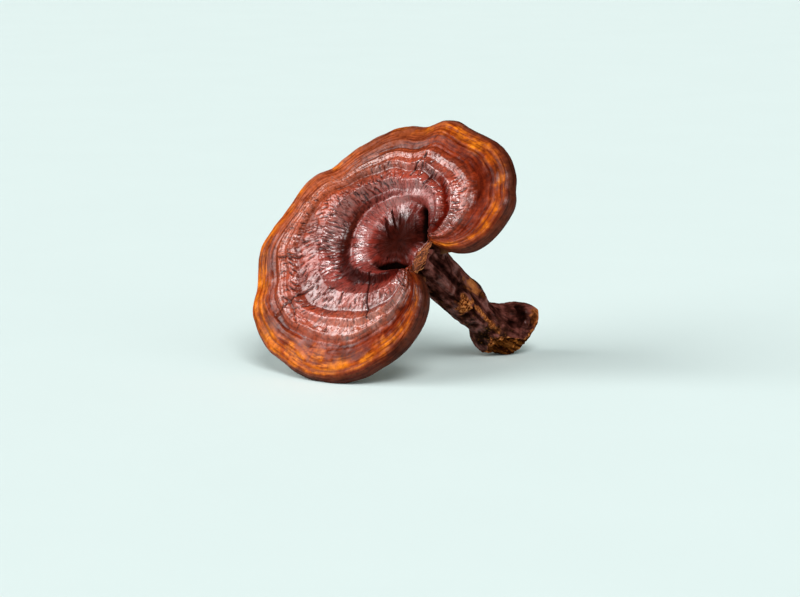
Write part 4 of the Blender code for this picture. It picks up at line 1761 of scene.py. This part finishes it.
# Places that lost their rind: share, direction, half length, half width, how rough.
BARE_PATCHES = (
    (0.43, -46.0, 0.055, 22.0, 1.0), (0.40, -30.0, 0.035, 12.0, 0.9),
    (0.455, -14.0, 0.012, 22.0, 0.6), (0.445, 25.0, 0.060, 13.0, 0.2), (0.54, 27.0, 0.03, 4.0, 0.3),
    (0.61, -24.0, 0.10, 6.5, 0.8), (0.70, -28.0, 0.04, 9.0, 0.7), (0.955, 38.0, 0.035, 13.0, 0.5),
    (0.90, -150.0, 0.05, 18.0, 0.8), (0.40, 165.0, 0.05, 14.0, 0.7),
)
# Where the rind is old, black and speckled: share, direction, half length, half width, how much.
OLD_PATCHES = (
    (0.62, -62.0, 0.13, 28.0, 1.0), (0.76, -60.0, 0.07, 50.0, 1.1), (0.36, 2.0, 0.05, 16.0, 0.7),
    (0.60, 150.0, 0.20, 45.0, 0.8), (0.85, 180.0, 0.15, 60.0, 0.8), (0.30, -95.0, 0.2, 25.0, 0.6),
)
# Where the rind ends at the torn foot: direction, share.
FOOT_EDGE = (
    (-180.0, 0.93), (-150.0, 0.93), (-112.0, 0.865), (-85.0, 0.795), (-62.0, 0.752),
    (-42.0, 0.762), (-27.0, 0.815), (-17.0, 0.92), (20.0, 0.95), (60.0, 0.985), (110.0, 0.95),
    (180.0, 0.93),
)


@dataclass
class Stem(Dressed):
    """The stem: a furrowed tube from inside the cap to the torn foot, with bare patches."""

    finish: Finish = RindFinish()
    grain: Grain = field(default_factory=lambda: Grain(23))
    around: int = 240
    rows: int = 250
    top_rows: int = 10
    foot_rows: int = 16
    length: float = 95.0
    join_share: float = 0.25
    sunk: float = 1.2
    top_at_notch: float = -0.6
    dome_middle: float = -2.0
    dome_rise: float = 1.4
    foot_rounding: float = 2.6
    furrow_height: float = 0.42
    wrinkle_height: float = 0.16
    knob_height: float = 1.1
    knobs_from: float = 0.45
    tear_height: float = 1.2
    worn_depth: float = 0.35
    edge_height: float = 0.5
    edge_half_width: float = 0.012
    hollow_depth: float = 0.9

    def angles(self) -> Array:
        """Directions around the stem, so that the outside is on the right."""
        return -np.arange(self.around) * 2 * math.pi / self.around

    def spread(self, patch: Sequence[float], angle: Array, share: Array | float) -> Array:
        """How far points are from the middle of a patch.

        Args:
            patch: its share of the stem's length, direction, half length and half width, first.
            angle: direction of each point.
            share: share of the stem's length of each point.

        Returns:
            The squared distance, 1 at the patch's edge.
        """
        at, direction, half_length, half_width = patch[:4]
        beside = wrapped(angle - math.radians(direction), FULL_TURN) / math.radians(half_width)
        return beside**2 + ((share - at) / half_length) ** 2

    def humps(self, rows: Rows, angle: Array, share: Array | float) -> Array:
        """Sum of soft, oval humps, each as high as its row's last number says."""
        return sum(row[4] * np.exp(-self.spread(row, angle, share)) for row in rows)

    def loop(self, share: float) -> Array:
        """One smooth loop around the stem.

        Args:
            share: where it is, as a share of the stem's length.

        Returns:
            Its points.
        """
        axis = np.array(STEM_AXIS)
        run = np.append(0.0, np.cumsum(np.linalg.norm(np.diff(axis[:, :3], axis=0), axis=1)))
        depth, x, y, radius = (np.interp(share * run[-1], run, axis[:, i]) for i in range(4))
        angle = self.angles()
        reach = radius + self.humps(STEM_LUMPS, angle, share)
        to_end = (1 - share) * run[-1]
        if to_end < self.foot_rounding:
            inset = self.foot_rounding - to_end
            reach -= self.foot_rounding - math.sqrt(self.foot_rounding**2 - inset**2)
        flat = [x + reach * np.cos(angle), y + reach * np.sin(angle)]
        return np.column_stack([*flat, depth + 0 * angle])

    def tops(self, points: Array, cap: Piece) -> Array:
        """Finds where the stem runs into the cap.

        Args:
            points: the stem's first loop.
            cap: the cap above it.

        Returns:
            Heights at which the stem's top ends, a little way inside the cap.
        """
        tree = BVHTree.FromObject(cap, bpy.context.evaluated_depsgraph_get())
        heights = []
        below = -60.0
        starts = placed(np.column_stack([points[:, :2], np.full(len(points), below)]))
        ends = placed(np.array(((0.0, 0.0, 0.0), (0.0, 0.0, 1.0))))
        up = Vector(ends[1] - ends[0]).normalized()
        for start in starts:
            hit, _, _, distance = tree.ray_cast(Vector(start), up)
            heights.append(below + distance / MM + self.sunk if hit else self.top_at_notch)
        return np.minimum(np.array(heights), self.top_at_notch)

    def tube(self, cap: Piece) -> tuple[Array, Array, Array]:
        """Lays out the stem's skin in loops, from inside the cap to the middle of the sole.

        Args:
            cap: the cap that the stem's top runs into.

        Returns:
            The points, the share of the stem's length, and how far in on the sole each is.
        """
        shares = np.linspace(0.0, 1.0, self.rows)
        grid = np.array([self.loop(share) for share in shares])
        top, join = self.tops(grid[0], cap), int(self.join_share * self.rows)
        rise = np.linspace(0.0, 1.0, join)[:, None]
        grid[:join, :, 2] = top + (grid[join, :, 2] - top) * rise
        middle = np.array((*STEM_AXIS[0][1:3], self.dome_middle))
        turns = np.linspace(0.08, 0.95, self.top_rows)[:, None, None] * math.pi / 2
        dome = middle + (grid[0] - middle) * np.sin(turns)
        dome[..., 2:] += self.dome_rise * np.cos(turns)
        end = grid[-1].mean(0)
        sole = end + (grid[-1] - end) * np.linspace(0.97, 0.06, self.foot_rows)[:, None, None]
        share = np.concatenate([np.zeros(self.top_rows), shares, np.ones(self.foot_rows)])
        inward = np.zeros_like(share)
        inward[-self.foot_rows :] = np.linspace(0.2, 1.0, self.foot_rows)
        level = np.ones((1, self.around))
        return np.concatenate([dome, grid, sole]), share[:, None] * level, inward[:, None] * level

    def past_edge(self, angle: Array, share: Array) -> Array:
        """How far past the rind's ragged end points are.

        Args:
            angle: direction of each point.
            share: share of the stem's length of each point.

        Returns:
            The distance, as a share of the stem's length.
        """
        edge = np.array(FOOT_EDGE)
        turned = wrapped(np.degrees(angle), 360.0)
        fray = 0.03 * (self.grain.layers(angle / FULL_TURN * 90 + 300, share * 20, 2) - 0.5)
        return share - np.interp(turned, edge[:, 0], edge[:, 1]) + fray

    def bare(self, angle: Array, share: Array, inward: Array) -> tuple[Array, Array]:
        """Where the rind is gone.

        Args:
            angle: direction of each point.
            share: share of the stem's length of each point.
            inward: how far in on the sole each point is.

        Returns:
            How bare of rind each point is, and how rough the bare place is, from 0 to 1.
        """
        torn = smooth(self.past_edge(angle, share) / 0.015)
        torn = np.maximum(torn, smooth((inward - 0.1) / 0.2))
        bare, rough = torn, torn
        ragged = 2.2 * (self.grain.layers(angle / FULL_TURN * 40 + 100, share * 34, 4) - 0.5)
        for patch in BARE_PATCHES:
            away = np.sqrt(self.spread(patch, angle, share))
            cover = smooth((1.35 - away + ragged) / 0.8)
            bare = np.maximum(bare, cover)
            rough = np.maximum(rough, cover * patch[4])
        return bare, rough

    def furrows(self, angle: Array, share: Array) -> Array:
        """Height of the furrows and wrinkles that run along the stem, and of the foot's knobs.

        Args:
            angle: direction of each point.
            share: share of the stem's length of each point.

        Returns:
            The height at each point.
        """
        around, run = (-angle / FULL_TURN) % 1.0, share * self.length
        furrow = self.grain.at(around * 16, run / 15.0, 16) - 0.5
        furrow += 0.5 * (self.grain.at(around * 32, run / 9.0 + 40, 32) - 0.5)
        wrinkle = self.grain.at(around * 64, run / 5.0 + 80, 64) - 0.5
        wrinkle += 0.6 * (self.grain.at(around * 110, run / 3.2 + 180, 110) - 0.5)
        knobs = self.grain.layers(around * 14, run / 4.4, 3) - 0.5
        knobs = self.knob_height * smooth((share - self.knobs_from) / 0.2) * knobs
        return 2 * self.furrow_height * furrow + 2 * self.wrinkle_height * wrinkle + knobs

    def shreds(self, grid: Array) -> Array:
        """How far torn flesh stands up, in shreds and larger tufts.

        Args:
            grid: the points.

        Returns:
            The height at each, as a share of what it may be.
        """
        x, y, z = grid[..., 0], grid[..., 1], grid[..., 2]
        shreds = self.grain.layers(x / 1.5 + z / 3.1, y / 1.5 - z / 2.3, 3)
        tufts = self.grain.layers(x / 3.4 - z / 2.0, y / 3.4 + z / 3.4, 2)
        return (shreds - 0.5) * 1.2 + (tufts - 0.5) * 1.1

    def build(self, cap: Piece) -> Piece:
        """Builds the stem's mesh.

        Args:
            cap: the cap that the stem's top runs into.

        Returns:
            The stem, with the fields that its finish reads.
        """
        grid, share, inward = self.tube(cap)
        angle = self.angles() * np.ones_like(share)
        bare, rough = self.bare(angle, share, inward)
        past = self.past_edge(angle, share)
        height = self.furrows(angle, share) + self.humps(STEM_DETAILS, angle, share)
        height += rough * self.tear_height * self.shreds(grid)
        height -= self.worn_depth * bare * (1 - rough)
        height += self.edge_height * bell(past, self.edge_half_width)
        height -= self.hollow_depth * smooth((past - 0.01) / 0.06)
        height *= smooth(share / 0.02 + 0.05)
        fields = {
            "bare": bare,
            "rough": rough,
            "torn_off": smooth((past - 0.022) / 0.04),
            "old": np.clip(self.humps(OLD_PATCHES, angle, share), 0.0, 1.0),
            "tone": np.clip(0.5 + height, 0.0, 1.0),
            "outward": np.stack([np.cos(angle), np.sin(angle), share * self.length], -1),
        }
        return skin_piece("stem_rind", grid + grid_normals(grid) * height[..., None], fields)


@dataclass
class TornLip(Dressed):
    """The frayed shred of flesh that stands up between the lobes, over the stem."""

    finish: Finish = TornFinish()
    path: Rows = (
        (-1.0, -11.6, 1.6), (0.0, -8.2, 3.0), (1.6, -4.6, 4.0), (2.6, -1.6, 4.0),
        (3.6, 1.2, 3.4), (5.4, 4.4, 3.2),
    )
    half_widths: Sequence[float] = (0.8, 1.7, 2.2, 1.6, 0.8, 0.3)
    along: Sequence[float] = (0.5, 0.85, 0.15)
    fibres: int = 170
    sides: int = 5
    fibre_points: int = 12
    seed: int = 5

    def spine(self, share: float) -> tuple[Array, float]:
        """Follows the middle of the shred.

        Args:
            share: share of its length.

        Returns:
            The place, and the shred's half width there.
        """
        knots, path = np.linspace(0.0, 1.0, len(self.path)), np.array(self.path)
        place = np.array([np.interp(share, knots, path[:, axis]) for axis in range(3)])
        return place, float(np.interp(share, knots, self.half_widths))

    def fibre(self, draw: np.random.Generator) -> tuple[list[Array], float]:
        """Draws one tapered, wavy fibre.

        Args:
            draw: where its chances come from.

        Returns:
            Its points, ring by ring, and its tone.
        """
        across = np.cross(self.along, (0.0, 0.0, 1.0))
        across /= np.linalg.norm(across)
        upward = np.array((0.0, 0.0, 1.0))
        begin = draw.uniform(0.0, 0.7)
        finish = min(1.0, begin + draw.uniform(0.12, 0.5))
        side, drift = draw.uniform(-1.0, 1.0), draw.uniform(-1.2, 1.2)
        lift, sway = draw.uniform(-2.8, 1.2), draw.uniform(0.0, 6.28)
        thick = draw.uniform(0.13, 0.34)
        tone = draw.uniform(0.0, 1.0)
        points: list[Array] = []
        for share in np.arange(self.fibre_points) / (self.fibre_points - 1):
            place, half = self.spine(begin + (finish - begin) * share)
            shift = (side + drift * share) * half * 0.7 + 0.5 * math.sin(8 * share + sway)
            centre = place + across * shift
            centre[2] += lift * half * 0.4 + 0.5 * math.sin(6 * share + 2 * sway)
            radius = thick * math.sqrt(max(0.02, 1 - abs(2 * share - 0.8) ** 2.2))
            for corner in range(self.sides):
                turn = FULL_TURN * corner / self.sides + share * 2
                swell = 1.0 + 0.25 * math.sin(3 * turn + 9 * share + sway)
                offset = across * math.cos(turn) + upward * math.sin(turn)
                points.append(centre + offset * radius * swell)
        return points, tone

    def fibre_faces(self, first: int) -> list[Face]:
        """Closes a fibre's skin.

        Args:
            first: index of its first point.

        Returns:
            Its sides and both ends.
        """
        faces: list[Face] = []
        for near in range(first, first + (self.fibre_points - 1) * self.sides, self.sides):
            for corner in range(self.sides):
                after, far = (corner + 1) % self.sides, near + self.sides
                faces.append((near + corner, near + after, far + after, far + corner))
        end = first + (self.fibre_points - 1) * self.sides
        faces.append(tuple(range(first, first + self.sides))[::-1])
        faces.append(tuple(range(end, end + self.sides)))
        return faces

    def build(self) -> Piece:
        """Builds the shred as one mesh of many tangled fibres.

        Returns:
            The shred, with the tone of each fibre.
        """
        draw = np.random.default_rng(self.seed)
        points: list[Array] = []
        faces: list[Face] = []
        tones: list[float] = []
        for _ in range(self.fibres):
            faces += self.fibre_faces(len(points))
            fibre, tone = self.fibre(draw)
            points += fibre
            tones += [tone] * len(fibre)
        return mesh_piece("torn_lip", np.array(points), faces, {"tone": np.array(tones)[:, None]})


@dataclass(frozen=True)
class SoftLight:
    """A far, round, soft light: where it comes from, how wide it looks, its power and colour."""

    name: str
    comes_from: tuple[float, float, float]
    width_deg: float
    power: float
    colour: Colour

    def hang(self) -> None:
        """Puts the light in the scene."""
        lamp = bpy.data.lights.new(self.name, "SUN")
        lamp.angle = math.radians(self.width_deg)
        lamp.energy, lamp.color = self.power, self.colour
        holder = bpy.data.objects.new(self.name, lamp)
        holder.location = Vector(self.comes_from) * 2.0
        holder.rotation_euler = (-Vector(self.comes_from)).to_track_quat("-Z", "Y").to_euler()
        bpy.context.scene.collection.objects.link(holder)


@dataclass
class Studio(Dressed):
    """A plain pale floor, soft light, and a camera at the photograph's viewing angle."""

    finish: Finish = FloorFinish()
    floor_radius: float = 9.0
    floor_sides: int = 96
    floor_drop: float = 0.0002
    camera_place: tuple[float, float, float] = (0.0011, -1.1723, 0.23935)
    camera_tilt_deg: float = 80.0
    lens: float = 116.46
    sensor_width: float = 36.0
    clip_end: float = 60.0
    sky: Colour = (226, 243, 239)
    sky_strength: float = 0.16
    lights: tuple[SoftLight, ...] = (
        SoftLight("left", (-0.843, -0.340, 0.417), 54.0, 3.2, (1.0, 0.985, 0.98)),
        SoftLight("front", (0.10, -0.72, 0.687), 24.0, 2.2, (1.0, 0.99, 0.99)),
        SoftLight("right", (0.62, -0.70, 0.355), 60.0, 0.9, (0.96, 1.0, 0.99)),
    )

    def lay_floor(self) -> None:
        """Lays the floor, a little under what stands on it."""
        turns = np.arange(self.floor_sides) * FULL_TURN / self.floor_sides
        ring = self.floor_radius * np.column_stack([np.cos(turns), np.sin(turns), 0.0 * turns])
        mesh = bpy.data.meshes.new("studio_floor")
        mesh.from_pydata(ring.tolist(), [], [tuple(range(self.floor_sides))])
        floor = bpy.data.objects.new("studio_floor", mesh)
        floor.location.z = -self.floor_drop
        bpy.context.scene.collection.objects.link(floor)
        self.dress(floor)

    def hang_sky(self) -> None:
        """Gives the scene a pale, even sky."""
        world = bpy.data.worlds.new("soft sky")
        world.use_nodes = True
        back = world.node_tree.nodes["Background"]
        back.inputs["Color"].default_value = linear(self.sky)
        back.inputs["Strength"].default_value = self.sky_strength
        bpy.context.scene.world = world

    def set_camera(self) -> None:
        """Sets the camera up."""
        lens = bpy.data.cameras.new("camera")
        lens.lens, lens.sensor_width, lens.clip_end = self.lens, self.sensor_width, self.clip_end
        camera = bpy.data.objects.new("camera", lens)
        camera.location = self.camera_place
        camera.rotation_euler = (math.radians(self.camera_tilt_deg), 0.0, 0.0)
        bpy.context.scene.collection.objects.link(camera)
        bpy.context.scene.camera = camera

    def build(self) -> None:
        """Builds the floor, the lights, the sky and the camera."""
        self.lay_floor()
        for light in self.lights:
            light.hang()
        self.hang_sky()
        bpy.context.scene.view_settings.view_transform = "Standard"
        self.set_camera()


def main() -> None:
    """Builds and dresses the cap, the stem and the torn lip, then the studio."""
    logging.basicConfig(level=logging.INFO, format="%(name)s: %(message)s")
    bracket, stalk, shred = Cap(), Stem(), TornLip()
    cap = bracket.build()
    bracket.dress(cap)
    stem = stalk.build(cap)
    stalk.dress(stem)
    lip = shred.build()
    shred.dress(lip)
    for piece, node, slot in (
        (cap, "cap", "lacquered_cap"),
        (stem, "stem", "stem_rind"),
        (lip, "cap", "stem_rind"),
    ):
        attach(piece, "root")
        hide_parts(node)
        log.info("%s: %d faces", piece.name, len(piece.data.polygons))
    Studio().build()


if __name__ == "__main__":
    main()
